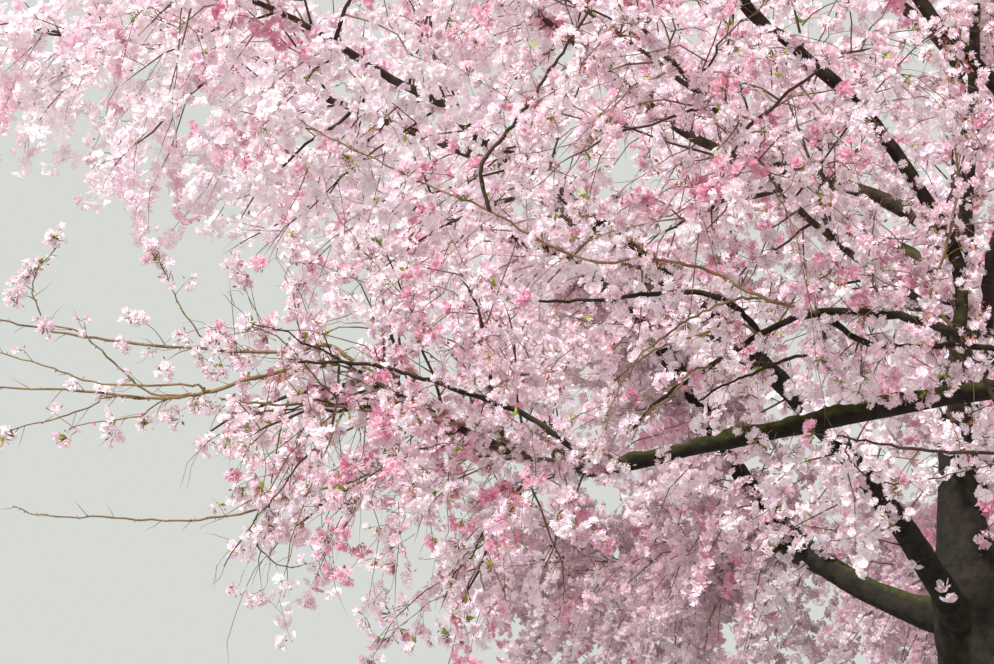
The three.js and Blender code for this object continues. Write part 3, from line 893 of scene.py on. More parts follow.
flowerShapes, budShape, leafShape = makeFlowerShapes(), makeBud(), makeLeaf()
clusterRule = {
    "uneven": 0.7, "upTwig": 0.95, "along": 0.3, "sag": 0.3, "outward": 0.7, "spread": 0.7,
    "reach": (0.7, 1.25), "tilt": 0.25, "size": (0.8, 1.15), "stalk": 0.0019,
}


# Clusters of flowers along twigs, more of them towards the tips
def addClusters(group, curves, tone, rule, massName, rng):
    if not len(curves):
        return
    shades = shadesFor(curves[:, 3], tone, rng)
    owner, step, number = stepsAlong(lengthOf(curves), rule["clusterGap"])
    back = (step + rng.uniform(0, clusterRule["uneven"], len(owner))) / number
    share = 1 - back * clusterRule["upTwig"]
    spot = pointOn(curves[owner], share)
    along = wayOn(curves[owner], share)
    keep = rng.uniform(0, 1, len(owner)) < rule["clusterKeep"] * bloomShare(spot, massName)
    front = keep & (spot[:, 1] < rule.get("fineTo", math.inf))
    for chosen, changed in ((front, {}), (keep & ~front, {"shape": "medium"})):
        makeClusters(group, spot[chosen], along[chosen], shades[owner][chosen], {**rule, **changed}, rng)


# The flowers of each cluster stand out on stalks round a spot of its twig, and hang a little
def makeClusters(group, spot, along, shade, rule, rng):
    if not len(spot):
        return
    common = clusterRule
    out = sideOf(along, rng.uniform(0, 2 * math.pi, len(spot))) + along * common["along"]
    out = unit(out - upward * common["sag"] + unit(spot - crownMiddle) * common["outward"])
    counts = rng.integers(rule["flowers"][0], rule["flowers"][1] + 1, len(spot))
    which = np.repeat(np.arange(len(spot)), counts)
    facing = unit(out[which] + rng.normal(0, common["spread"], (len(which), 3)))
    reach = rule["stalk"] * rng.uniform(*common["reach"], len(which))
    place = spot[which] + facing * reach[:, None]
    facing = unit(facing + rng.normal(0, common["tilt"], facing.shape))
    size = rule["flowerRadius"] * rng.uniform(*common["size"], len(which))
    frames = framesFacing(facing, rng)
    shapes = flowerShapes[rule["shape"]]
    form = rng.integers(0, len(shapes), len(which))
    for number, (outer, inner) in enumerate(shapes):
        for shadeNumber, shadeName in enumerate(shadeNames):
            chosen = (form == number) & (shade[which] == shadeNumber)
            copies = (place[chosen], frames[chosen], size[chosen])
            addCopies(pileFor(group, "petals_" + shadeName), outer, *copies)
            if inner is not None:
                innerName = shadeNames[innerShade[shadeNumber]]
                addCopies(pileFor(group, "petals_" + innerName), inner, *copies)
    if rule["shape"] == "plain":
        return
    if rule["shape"] == "fine":
        addStalks(pileFor(group, "stalks"), spot[which], place, frames, common["stalk"])
    addScales(group, spot, out, scaleRule[rule["shape"]], rng)
    addBuds(group, spot, out, rule, rng)
    addLeaves(group, spot, along, rng)


# A three-sided stalk widens from a point on its twig to the cup under its flower
def addStalks(pile, roots, tips, frames, radius):
    rim = tips[:, None] + radius * spokes(frames[..., 0], frames[..., 1], 3)
    pile.addMany(np.concatenate([rim, roots[:, None]], 1), np.array([[1, 0, 3], [2, 1, 3], [0, 2, 3]]))


scaleRule = {
    "fine": 3, "medium": 2, "length": (0.007, 0.015), "reach": (0.002, 0.016), "out": 0.5, "spread": 0.7,
}
budRule = {
    "share": 0.4, "perCluster": 3, "radius": 0.0056, "size": (0.7, 1.2), "reach": 0.024, "spread": 0.6,
    "stalk": 0.0014,
}
leafRule = {
    "share": 0.16, "perTuft": 4, "length": (0.010, 0.024), "along": 0.5, "rise": 0.3, "spread": 0.6,
}


# Ways given for many copies, each leaning off at random
def spreadOut(ways, spread, rng):
    return unit(ways + rng.normal(0, spread, ways.shape))


# Some of the spots, each of them several times
def someOf(spot, share, times, rng):
    return np.repeat(np.flatnonzero(rng.uniform(0, 1, len(spot)) < share), times)


# Brown and olive scales, left at the foot of a cluster when its buds opened
def addScales(group, spot, out, perCluster, rng):
    chosen = np.repeat(np.arange(len(spot)), perCluster)
    way = spreadOut(out[chosen] * scaleRule["out"], scaleRule["spread"], rng)
    place = spot[chosen] + way * rng.uniform(*scaleRule["reach"], (len(chosen), 1))
    sizes = rng.uniform(*scaleRule["length"], len(chosen))
    addCopies(pileFor(group, "scales"), leafShape, place, framesFacing(way, rng), sizes)


def addBuds(group, spot, out, rule, rng):
    chosen = someOf(spot, budRule["share"], budRule["perCluster"], rng)
    way = spreadOut(out[chosen], budRule["spread"], rng)
    place = spot[chosen] + way * budRule["reach"]
    frames = framesFacing(way, rng)
    sizes = budRule["radius"] * rng.uniform(*budRule["size"], len(chosen))
    addCopies(pileFor(group, "buds"), budShape, place, frames, sizes)
    if rule["shape"] == "fine" and len(chosen):
        addStalks(pileFor(group, "stalks"), spot[chosen], place, frames, budRule["stalk"])


def addLeaves(group, spot, along, rng):
    chosen = someOf(spot, leafRule["share"], leafRule["perTuft"], rng)
    way = spreadOut(along[chosen] * leafRule["along"] + upward * leafRule["rise"], leafRule["spread"], rng)
    frames = framesFacing(way, rng)
    sizes = rng.uniform(*leafRule["length"], len(chosen))
    addCopies(pileFor(group, "leaves"), leafShape, spot[chosen], frames, sizes)


# Shades are dealt out by spray. A few places near the photo's own part of the crown are rich pink
richPlaces = {
    "at": ((690, 205), (735, 232), (655, 232), (425, 262), (252, 446), (372, 468), (330, 566), (612, 282),
           (525, 590)),
    "distance": 4.45, "before": -2, "radius": 0.10, "share": 0.6,
}


def shadesFor(points, tone, rng):
    chosen = rng.choice(len(shadeNames), len(points), p=list(shadeShares[tone].values()))
    if tone == "bright":
        rule = richPlaces
        places = np.array([atPixel(across, down, rule["distance"]) for across, down in rule["at"]])
        away = np.linalg.norm((points[:, None] - places)[..., [0, 2]], axis=-1).min(1)
        rich = (away < rule["radius"]) & (points[:, 1] < rule["before"])
        rich = rich & (rng.uniform(0, 1, len(points)) < rule["share"])
        chosen[rich] = rng.choice(len(shadeNames), rich.sum(), p=list(shadeShares["rich"].values()))
    return chosen


massRule = {
    "seed": 500, "sourceSeed": 100, "tones": {"backdrop": "shaded", "far": "far"}, "stemParts": 6,
    "branchRadius": 0.0070, "fillRadius": 0.0042, "branchTip": 0.3, "branchSides": 4,
    "stemTip": 0.0035, "stemSides": 7, "stemWander": 0.004, "underTwigs": 0.012,
    "sideTip": 0.4, "sideWander": 2, "fineTip": 0.5, "fineRings": 3, "twigSides": 3,
    "onBranches": {"clusterKeep": 0.5}, "onStem": {"clusterGap": 0.042, "clusterKeep": 0.9},
    "onFine": {"clusterGap": 0.2, "clusterKeep": 0.55},
}


# A stem in short parts, so that the sprays along it differ in shade
def stemParts(curve):
    parts = massRule["stemParts"]
    points = pointOn(curve, np.linspace(0, 1, 3 * parts + 1))
    return np.stack([points[k::3][:parts] for k in range(4)], 1)


# The branches that the solid tree has in a mass, and more of them by the same rule
def branchesOf(number, rule, rng):
    space, stem = spaces[number], stems[number]
    obstacles = obstaclesOf(space)
    draw = sourceDraws(massRule["sourceSeed"] + number)
    given = makeBranches(space, stem, draw, branchRule["count"], branchRule["longest"], obstacles)
    more = makeBranches(space, stem, rng.uniform, rule["fill"], rule["fillLength"], obstacles)
    radii = [massRule["branchRadius"]] * len(given) + [massRule["fillRadius"]] * len(more)
    return np.array(given + more), np.array(radii)


# One mass: its stem and branches, the side twigs on them, and the blossom on those
def growMass(number):
    space, stem, common = spaces[number], stems[number], massRule
    detail, group, name = detailOf(space), groupOf(space["storey"]), space["name"]
    rule, tone = growth[detail], common["tones"].get(detail, "bright")
    rng = np.random.default_rng(common["seed"] + number)
    branches, radii = branchesOf(number, rule, rng)
    twigs, wood = pileFor(group, "twigs"), pileFor(group, "branches")
    wander, stemCurve = rule["wander"], stem["curve"][None]
    stemRadii = [np.array([float(stem["radiusAt"](0))]), np.array([common["stemTip"]])]
    stemForm = (rule["stemRings"], common["stemSides"], common["stemWander"])
    addTwigs(wood, stemCurve, *stemRadii, *stemForm, rng)
    branchForm = (rule["branchRings"], common["branchSides"], wander)
    addTwigs(wood, branches, radii, radii * common["branchTip"], *branchForm, rng)
    parents, parentRadii = np.concatenate([branches, stemCurve]), np.append(radii, common["underTwigs"])
    side, sideRadii = makeSideTwigs(parents, parentRadii, rule["side"], space, rng)
    kept = rng.uniform(0, 1, len(side)) < bloomShare(side[:, 3], name) + openEdge["bareTwigs"]
    side, sideRadii = side[kept], sideRadii[kept]
    sideForm = (rule["sideRings"], common["twigSides"], wander * common["sideWander"])
    addTwigs(twigs, side, sideRadii, sideRadii * common["sideTip"], *sideForm, rng)
    addClusters(group, side, tone, rule, name, rng)
    addClusters(group, branches, tone, {**rule, **common["onBranches"]}, name, rng)
    addClusters(group, stemParts(stem["curve"]), tone, {**rule, **common["onStem"]}, name, rng)
    if "fine" in rule:
        fine, fineRadii = makeSideTwigs(side, sideRadii, rule["fine"], space, rng)
        fineForm = (common["fineRings"], common["twigSides"], wander)
        addTwigs(twigs, fine, fineRadii, fineRadii * common["fineTip"], *fineForm, rng)
        addClusters(group, fine, tone, {**rule, **common["onFine"]}, name, rng)
    if "whip" in rule:
        growWhips(group, branches, radii, rule, name, rng)


whipRule = {
    "pale": 0.4, "tip": 0.45, "rings": 8, "wander": 0.008,
    "bloom": {"clusterGap": 0.16, "clusterKeep": 0.3, "flowers": (1, 4)},
}


# Long thin twigs that stand out past the blossom, nearly bare
def growWhips(group, parents, parentRadii, rule, massName, rng):
    whips, radii = makeSideTwigs(parents, parentRadii, rule["whip"], None, rng)
    kept = rng.uniform(0, 1, len(whips)) < bloomShare(whips[:, 3], massName)
    whips, radii = whips[kept], radii[kept]
    pale = rng.uniform(0, 1, len(whips)) < whipRule["pale"]
    form = (whipRule["rings"], massRule["twigSides"], whipRule["wander"])
    for kind, chosen in (("shoots", pale), ("twigs", ~pale)):
        tips = radii[chosen] * whipRule["tip"]
        addTwigs(pileFor(group, kind), whips[chosen], radii[chosen], tips, *form, rng)
    addClusters(group, whips, "bright", {**rule, **whipRule["bloom"]}, massName, rng)


# Blossoming twigs and short spurs that stand on the outer part of each bough, sparser where they begin.
# The leader and the boughs behind the open left side carry longer ones, which close the crown there.
boughTwigs = {
    "side": {"gap": 0.085, "lean": (50, 88), "length": (0.16, 0.46), "shorter": 0.1,
             "droop": (-0.2, 0.5), "thick": (0.0020, 0.0042)},
    "long": {"gap": 0.046, "lean": (40, 88), "length": (0.28, 0.80), "shorter": 0.1,
             "droop": (-0.1, 0.7), "thick": (0.0022, 0.0046)},
    "hanging": {"gap": 0.024, "lean": (50, 92), "length": (0.20, 0.62), "shorter": 0.1,
                "droop": (0.2, 1.0), "thick": (0.0022, 0.0046)},
    "spur": {"gap": 0.030, "lean": (60, 95), "length": (0.05, 0.13), "shorter": 0.2,
             "droop": (-0.3, 0.3), "thick": (0.0020, 0.0030)},
    "seed": 900, "judgedAt": 0.8, "parentRadius": 0.02, "tip": 0.4, "rings": 3, "wander": 0.016,
    "from": {"main": 0.2, "side": 0.4}, "bare": ("low_bough_1",), "setsIn": 0.5, "least": 0.12,
    "own": {
        "low_bough_8": {"kinds": ("hanging", "hanging"), "from": 0.16, "tone": "shaded", "rule": "backdrop"},
        "low_bough_7": {
            "kinds": ("long", "hanging", "spur"), "from": 0.12, "tone": "shaded", "rule": "backdrop",
        },
        "main_bough_5": {"kinds": ("long", "hanging"), "from": 0.16, "tone": "shaded", "rule": "backdrop"},
        "main_bough_1": {"kinds": ("long", "spur"), "from": 0.14, "tone": "bright", "rule": "bough"},
        "middle_bough_10": {"kinds": ("side", "spur"), "from": 0.05, "tone": "bright", "rule": "bough"},
        "leader_bough": {"kinds": ("long", "spur", "spur"), "from": 0.02, "tone": "bright", "rule": "inView"},
    },
}


# What a bough carries: its own choice, or else the usual one for its distance from the photo's part
def twigsOf(bough):
    away = np.linalg.norm(pointOn(bough["curve"], boughTwigs["judgedAt"]) - np.array(detailRule["spot"]))
    nearby = away < detailRule["boughs"]
    tone, rule = ("bright", "bough") if nearby else ("far", "far")
    begin = boughTwigs["from"].get(bough["name"].split("_")[0], boughTwigs["from"]["side"])
    usual = {"kinds": ("side", "spur"), "from": begin, "tone": tone, "rule": rule}
    return boughTwigs["own"].get(bough["name"], usual)


def growOnBough(bough, number):
    name, common = bough["name"], boughTwigs
    if name in common["bare"]:
        return
    rng = np.random.default_rng(common["seed"] + number)
    group, chosen = groupOf(bough["storey"]), twigsOf(bough)
    begins = pointOn(bough["curve"], chosen["from"])
    form = (common["rings"], massRule["twigSides"], common["wander"])
    for twigKind in chosen["kinds"]:
        twigRule = {**common[twigKind], "from": chosen["from"]}
        parent = (bough["curve"][None], np.array([common["parentRadius"]]))
        curves, radii = makeSideTwigs(*parent, twigRule, None, rng)
        along = np.linalg.norm(curves[:, 0] - begins, axis=1) / common["setsIn"]
        kept = rng.uniform(0, 1, len(curves)) < np.maximum(along, common["least"])
        curves, radii = curves[kept], radii[kept]
        addTwigs(pileFor(group, "twigs"), curves, radii, radii * common["tip"], *form, rng)
        addClusters(group, curves, chosen["tone"], growth[chosen["rule"]], name, rng)


# Shoots at the open left edge, and the long twigs and thin limbs before the crown. Each passes some
# pixels of the photo at a distance of its own, and has its clusters at others. Each is rooted on its
# carrier: a stem at a share of its length, or another shoot at one of its places.
photoDistance = 4.6
photoShoots = {
    "levelShoot": {
        "root": ("low_1", 0.98), "at": ((256, 377), (205, 393), (150, 398), (80, 391), (-6, 387)),
        "base": 0.0064, "tip": 0.0022, "nearer": 0.10, "bloom": 0.16,
        "clusters": ((247, 392), (237, 410), (213, 399), (197, 399), (177, 413), (153, 425), (113, 396),
                     (262, 418)),
    },
    "topShoot": {
        "root": ("low_1", 0.86), "at": ((330, 346), (277, 352), (213, 350), (119, 341), (53, 331), (-6, 319)),
        "base": 0.0062, "tip": 0.0020, "nearer": -0.05, "bloom": 0.1,
        "clusters": ((223, 338), (238, 347), (220, 364), (200, 355), (163, 363), (280, 357), (293, 371),
                     (140, 321), (228, 272), (248, 274)),
    },
    "thinShoot": {
        "root": ("levelShoot", 2), "at": ((192, 385), (102, 384), (53, 368), (-6, 352)),
        "base": 0.0034, "tip": 0.0015, "nearer": 0.16, "bloom": 0.06,
    },
    "crossShoot": {
        "root": ("levelShoot", 2), "at": ((152, 393), (113, 362), (82, 334), (50, 324), (36, 318)),
        "base": 0.0030, "tip": 0.0016, "nearer": 0.05, "bloom": 0.05, "clusters": ((47, 321),),
    },
    "paleShoot": {
        "root": ("levelShoot", 3), "at": ((110, 396), (84, 409), (50, 420), (8, 430)),
        "base": 0.0026, "tip": 0.0014, "nearer": 0.12, "bloom": 0.05, "clusters": ((8, 437),),
    },
    "dippingTwig": {
        "root": ("levelShoot", 2), "at": ((160, 402), (140, 416), (100, 421), (70, 428)),
        "base": 0.0022, "tip": 0.0012, "nearer": 0.15, "bloom": 0.1, "clusters": ((67, 432), (120, 428)),
    },
    "oliveShoot": {
        "root": ("low_1", 0.30),
        "at": ((483, 428), (441, 423), (394, 416), (330, 406), (256, 403), (222, 399)),
        "base": 0.0054, "tip": 0.0028, "nearer": 0.12, "bloom": 0.2,
        "clusters": ((273, 419), (253, 437), (227, 441), (207, 438), (307, 397)),
    },
    "lowShoot": {
        "root": ("low_1", 0.36),
        "at": ((430, 450), (360, 478), (300, 495), (241, 513), (177, 521), (102, 517), (43, 515), (13, 506)),
        "base": 0.0048, "tip": 0.0014, "nearer": -0.08, "bloom": 0.04, "clusters": ((252, 502), (275, 520)),
    },
    "hangingTwig": {
        "root": ("low_1", 0.97),
        "at": ((336, 405), (328, 434), (300, 462), (277, 494), (249, 528), (224, 566)),
        "base": 0.0034, "tip": 0.0012, "nearer": 0.2, "bloom": 0.15, "clusters": ((256, 540),),
        "kind": "branches",
    },
    "hangingFork": {
        "root": ("hangingTwig", 5), "at": ((262, 552), (284, 567), (300, 566)),
        "base": 0.0018, "tip": 0.001, "nearer": 0.22, "kind": "branches",
    },
    "rightArch": {
        "root": ("middle_2", 0.03),
        "at": ((958, 332), (900, 316), (820, 312), (760, 335), (711, 366), (660, 400), (634, 428)),
        "base": 0.0135, "tip": 0.0034, "nearer": 0.25,
        "clusters": ((826, 330), (843, 318), (700, 372)), "kind": "limbs",
    },
    "rightSecond": {
        "root": ("rightArch", 3), "at": ((858, 339), (900, 347), (950, 345), (1004, 350)),
        "base": 0.0080, "tip": 0.0075, "nearer": 0.22,
        "clusters": ((955, 366), (970, 374), (946, 380)), "kind": "limbs",
    },
    "rightRiser": {
        "root": ("rightArch", 1),
        "at": ((930, 296), (948, 240), (958, 170), (948, 100), (960, 40), (946, -20)),
        "base": 0.0044, "tip": 0.0016, "nearer": 0.22, "bloom": 0.9,
        "clusters": ((938, 280), (966, 284), (974, 246), (945, 214), (972, 190), (946, 152), (970, 140),
                     (968, 106), (948, 84), (974, 66), (950, 34), (966, 10)),
    },
    "rightUpper": {
        "root": ("rightArch", 4), "at": ((735, 322), (703, 334), (672, 342), (640, 360), (612, 384)),
        "base": 0.0042, "tip": 0.0018, "nearer": 0.30,
    },
    "longArch": {
        "root": ("rightArch", 3),
        "at": ((770, 300), (700, 268), (639, 258), (604, 263), (550, 246), (490, 211), (435, 189), (378, 160),
               (330, 138), (300, 120)),
        "base": 0.0044, "tip": 0.0016, "nearer": 0.40, "bloom": 0.4,
        "clusters": ((318, 150), (352, 160), (412, 190), (548, 250), (632, 242), (645, 254), (657, 266),
                     (668, 279)),
    },
    "rightHigh": {
        "root": ("longArch", 1),
        "at": ((742, 298), (703, 312), (676, 328), (643, 353), (617, 392), (606, 430)),
        "base": 0.0036, "tip": 0.0016, "nearer": 0.34,
    },
    "rightLow": {
        "root": ("rightArch", 5), "at": ((690, 372), (672, 396), (648, 412), (632, 440)),
        "base": 0.0030, "tip": 0.0014, "nearer": 0.31,
    },
    "rightFork": {
        "root": ("rightArch", 3), "at": ((823, 348), (790, 358), (752, 374), (727, 384), (700, 400)),
        "base": 0.0050, "tip": 0.0022, "nearer": 0.28, "kind": "limbs",
    },
    "darkLevel": {
        "root": ("rightArch", 4), "at": ((735, 306), (695, 292), (650, 294), (600, 299), (540, 301)),
        "base": 0.0085, "tip": 0.0034, "nearer": 0.30, "bloom": 0.25,
        "clusters": ((722, 300), (610, 292)), "kind": "limbs",
    },
    "darkLimb": {
        "root": ("low_1", 0.04),
        "at": ((572, 448), (530, 417), (487, 400), (440, 384), (415, 376), (365, 364), (300, 362)),
        "base": 0.0078, "tip": 0.0036, "nearer": 0.36,
        "clusters": ((560, 430), (578, 452), (545, 440), (592, 446), (500, 410), (470, 385)), "kind": "limbs",
    },
    "darkDiagonal": {
        "root": ("longArch", 6),
        "at": ((481, 166), (509, 130), (526, 107), (546, 76), (572, 38), (597, -4), (630, -60)),
        "base": 0.0050, "tip": 0.0030, "nearer": 0.42, "bloom": 0.2, "kind": "branches",
    },
    "highLimb": {
        "root": ("rightArch", 1),
        "at": ((958, 262), (912, 176), (858, 104), (800, 52), (752, 12), (716, -34)),
        "base": 0.0170, "tip": 0.0150, "nearer": 0.16,
        "clusters": ((812, 70), (846, 96), (868, 124), (884, 136), (890, 160), (908, 168), (912, 192),
                     (928, 204), (930, 226), (948, 238), (944, 258), (962, 276), (952, 292), (966, 308),
                     (974, 258)),
        "kind": "limbs",
    },
    "edgeLimb": {
        "root": ("rightArch", 0),
        "at": ((990, 270), (1012, 190), (1014, 120), (988, 76), (948, 34), (908, -16)),
        "base": 0.0180, "tip": 0.0150, "nearer": 0.16, "kind": "limbs",
    },
    "underArch": {
        "root": ("rightArch", 1), "at": ((1010, 440), (960, 452), (900, 447), (850, 438), (812, 434)),
        "base": 0.0060, "tip": 0.0016, "nearer": 0.30,
        "clusters": ((900, 492), (880, 512), (835, 440), (950, 424), (974, 420)), "kind": "branches",
    },
    "underLoop": {
        "root": ("underArch", 4), "at": ((846, 452), (866, 476), (900, 484), (950, 474), (1000, 462)),
        "base": 0.0026, "tip": 0.0012, "nearer": 0.33, "clusters": ((872, 470), (920, 478)),
        "kind": "branches",
    },
    "risingTwig": {
        "root": ("topShoot", 3), "at": ((186, 316), (172, 290), (157, 254)),
        "base": 0.0022, "tip": 0.0012, "nearer": -0.05, "bloom": 0.1,
        "clusters": ((157, 250), (167, 273), (160, 262)),
    },
    "edgeTwig": {
        "root": ("topShoot", 5), "at": ((40, 312), (33, 290), (38, 270), (60, 244)),
        "base": 0.0020, "tip": 0.0012, "nearer": -0.05, "bloom": 0.1,
        "clusters": ((30, 268), (22, 284), (18, 296), (38, 262), (56, 242)),
    },
}
shootRule = {
    "seed": 41, "usual": {"bloom": 0.3, "kind": "shoots"},
    "stepsPerPart": 6, "sides": 5, "sway": 0.0016, "bloomGap": 0.09,
    "twiglets": {"from": 0.1, "gap": 0.06, "lean": (35, 80), "length": (0.025, 0.11), "shorter": 0.2,
                 "droop": (-0.4, 0.3), "thick": (0.0009, 0.0014)},
    "twigletTip": 0.6, "twigletRings": 2, "twigletWander": 0.01,
    "twigletBloom": {"clusterGap": 0.2, "clusterKeep": 0.22, "flowers": (1, 4)},
}


# Smooth curve parts through a row of points
def partsThrough(points):
    before = np.vstack([points[:1], points[:-1]])
    after = np.vstack([points[1:], points[-1:]])
    lean = (after - before) / 6
    return np.stack([points[:-1], points[:-1] + lean[:-1], points[1:] - lean[1:], points[1:]], 1)


# The places that a shoot passes, from its root on
def placesOf(shoot, placed):
    carrier, where = shoot["root"]
    if carrier in placed:
        root = placed[carrier][where]
    else:
        root = pointOn(stems[spaces.index(spaceNamed[carrier])]["curve"], where)
    seen = [atPixel(across, down, photoDistance - shoot["nearer"]) for across, down in shoot["at"]]
    return np.vstack([root, seen])


def growShoots():
    common, rule = shootRule, growth["near"]
    rng = np.random.default_rng(common["seed"])
    placed = {}
    for name, given in photoShoots.items():
        shoot = {**common["usual"], **given}
        placed[name] = placesOf(shoot, placed)
        parts = partsThrough(placed[name])
        shares = np.arange(common["stepsPerPart"]) / common["stepsPerPart"]
        line = pointOn(parts[:, None], shares).reshape(-1, 3)
        line[1:] += rng.normal(0, common["sway"], line[1:].shape)
        line = np.vstack([line, placed[name][-1:]])
        addLine(pileFor("low", shoot["kind"]), line, shoot["base"], shoot["tip"], common["sides"])
        addKnots(line, shoot, rng)
        if "clusters" in shoot:
            away = np.full(len(shoot["clusters"]), photoDistance - shoot["nearer"])
            growToClusters(line, shoot["clusters"], away, rule, rng)
        thick = np.full(len(parts), shoot["tip"])
        small, radii = makeSideTwigs(parts, thick, common["twiglets"], None, rng)
        form = (common["twigletRings"], massRule["twigSides"], common["twigletWander"])
        addTwigs(pileFor("low", "twigs"), small, radii, radii * common["twigletTip"], *form, rng)
        onShoot = {**rule, "clusterGap": common["bloomGap"], "clusterKeep": shoot["bloom"]}
        addClusters("low", parts, "bright", onShoot, name, rng)
        addClusters("low", small, "bright", {**rule, **common["twigletBloom"]}, name, rng)


# Green and reddish buds that have not opened, close along a shoot
knotRule = {"gap": 0.022, "along": 0.6, "out": 0.003, "size": (0.0028, 0.0052), "green": 0.6}


def addKnots(line, shoot, rng):
    steps = np.linalg.norm(np.diff(line, axis=0), axis=1)
    count = int(steps.sum() / knotRule["gap"])
    at = rng.integers(0, len(line) - 1, count)
    step = line[at + 1] - line[at]
    spot = line[at] + step * rng.uniform(0, 1, (count, 1))
    way = unit(unit(step) * knotRule["along"] + unit(rng.normal(0, 1, (count, 3))))
    place = spot + way * (shoot["tip"] + knotRule["out"])
    sizes = rng.uniform(*knotRule["size"], count)
    green = rng.uniform(0, 1, count) < knotRule["green"]
    frames = framesFacing(way, rng)
    for kind, chosen in (("leaves", green), ("buds", ~green)):
        addCopies(pileFor("low", kind), budShape, place[chosen], frames[chosen], sizes[chosen])


tuftRule = {
    "stepsBack": 2, "rise": 0.01, "uneven": 0.006, "base": 0.0014, "tip": 0.0008, "rings": 4, "wander": 0.004,
    "clusters": 2, "scatter": 0.009, "shades": (0.75, 0.25), "flowers": (3, 6),
}


# Short twigs from a limb to the clusters that the photo shows beside it
def growToClusters(line, clusters, away, rule, rng):
    common = tuftRule
    tips = np.array([atPixel(across, down, far) for (across, down), far in zip(clusters, away)])
    nearest = np.linalg.norm(tips[:, None] - line[None], axis=-1).argmin(1)
    starts = line[np.maximum(nearest - common["stepsBack"], 0)]
    middle = (starts + tips) / 2 + upward * common["rise"] + rng.normal(0, common["uneven"], tips.shape)
    curves = np.stack([starts, middle, middle, tips], 1)
    radii = [np.full(len(tips), common[end]) for end in ("base", "tip")]
    form = (common["rings"], massRule["twigSides"], common["wander"])
    addTwigs(pileFor("low", "shoots"), curves, *radii, *form, rng)
    along = unit(tips - middle)
    for _ in range(common["clusters"]):
        spot = tips + rng.normal(0, common["scatter"], tips.shape)
        shade = rng.choice(len(common["shades"]), len(tips), p=common["shades"])
        makeClusters("low", spot, along, shade, {**rule, "flowers": common["flowers"]}, rng)


# The few clusters that sit on the long mossy bough, which is bare apart from them. Their distances
# run evenly between two pixel columns of the photo.
mossyBoughClusters = {
    "at": ((452, 436), (468, 443), (484, 439), (498, 451), (514, 459), (530, 467), (541, 475), (500, 424),
           (520, 436), (536, 448), (552, 440), (560, 458), (575, 470), (585, 452), (596, 460), (602, 448),
           (606, 478), (612, 462), (622, 470), (664, 462), (744, 428), (762, 438), (772, 446), (788, 450),
           (868, 402), (884, 396), (906, 396), (926, 398), (962, 448), (984, 440)),
    "leftEnd": (609, 4.45), "rightEnd": (1006, 4.88), "from": 0.5, "steps": 60, "seed": 77,
}


def growOnMossyBough():
    rule = mossyBoughClusters
    line = pointOn(mossyBough["curve"], np.linspace(rule["from"], 1, rule["steps"]))
    (left, near), (right, far) = rule["leftEnd"], rule["rightEnd"]
    away = np.interp([across for across, down in rule["at"]], (left, right), (near, far))
    growToClusters(line, rule["at"], away, growth["near"], np.random.default_rng(rule["seed"]))


# One tapering tube along a row of points, slightly lumpy
tubeRule = {"uneven": 0.16, "lumpsPerMetre": 45, "seed": 5, "point": 2}


def addLine(pile, line, base, tip, sides):
    along = unit(np.gradient(line, axis=0))
    uneven = tubeRule["uneven"] * lumps(line * tubeRule["lumpsPerMetre"], tubeRule["seed"])
    radii = np.linspace(base, tip, len(line)) * (1 + uneven)
    rims = line[:, None] + spokes(*squareTo(along), sides) * radii[:, None, None]
    end = line[-1] + along[-1] * tip * tubeRule["point"]
    last = len(line) * sides
    faces = [ringFaces(len(line), sides)]
    faces += [capFaces(last - sides, last, sides, True), capFaces(0, last + 1, sides, False)]
    pile.add(np.vstack([rims.reshape(-1, 3), end[None], line[:1]]), np.concatenate(faces))


mossyBough = next(bough for bough in sides if bough["name"] in boughTwigs["bare"])
limbsOf = {
    "trunk": [foot], "leader": [leader], "main": mains, "mossy": [mossyBough],
    "side": [bough for bough in sides if bough is not mossyBough],
}
barkPiles = {look: Pile() for look in limbsOf}
barkSeeds = {"first": 3, "step": 5}
for look, alike in limbsOf.items():
    for limb in alike:
        addLimb(barkPiles[look], limb, look, barkSeeds["first"] + barkSeeds["step"] * limbs.index(limb))
print("stage: bark,", sum(pile.size() for pile in barkPiles.values()), "triangles")

for number in range(len(spaces)):
    growMass(number)
for number, bough in enumerate([leader] + mains + sides):
    growOnBough(bough, number)
growShoots()
growOnMossyBough()
print("stage: crown,", sum(pile.size() for group in piles.values() for pile in group.values()), "triangles")


# Materials
def newGroup(name, inputs, outputs):
    group = bpy.data.node_groups.new(name, "ShaderNodeTree")
    for label, kind, value in inputs:
        socket = group.interface.new_socket(label, in_out="INPUT", socket_type=kind)
        socket.default_value = value
    for label, kind in outputs:
        group.interface.new_socket(label, in_out="OUTPUT", socket_type=kind)
    return group, group.nodes.new("NodeGroupInput"), group.nodes.new("NodeGroupOutput")


def addNode(tree, kind, **settings):
    node = tree.nodes.new(kind)
    for name, value in settings.items():
        setattr(node, name, value)
    return node


def setInputs(node, **values):
    for name, value in values.items():
        node.inputs[name.replace("_", " ")].default_value = value


def addMaths(tree, operation, constants, clamp=False):
    node = addNode(tree, "ShaderNodeMath", operation=operation, use_clamp=clamp)
    for place, value in constants.items():
        node.inputs[place].default_value = value
    return node


# Each join is a node and its output, then a node and its input
def join(tree, *joins):
    for source, output, target, entry in joins:
        tree.links.new(source.outputs[output], target.inputs[entry])


colourSocket, numberSocket = "NodeSocketColor", "NodeSocketFloat"
mottleRule = {"detail": 3.0, "roughness": 0.6, "middle": 0.5}
mossRule = {"detail": 4.0, "roughness": 0.65, "uneven": 0.9, "middle": 0.45, "edge": 2.6}


def addNoise(tree, rule):
    place, noise = addNode(tree, "ShaderNodeTexCoord"), addNode(tree, "ShaderNodeTexNoise")
    setInputs(noise, Detail=rule["detail"], Roughness=rule["roughness"])
    join(tree, (place, "Object", noise, "Vector"))
    return noise


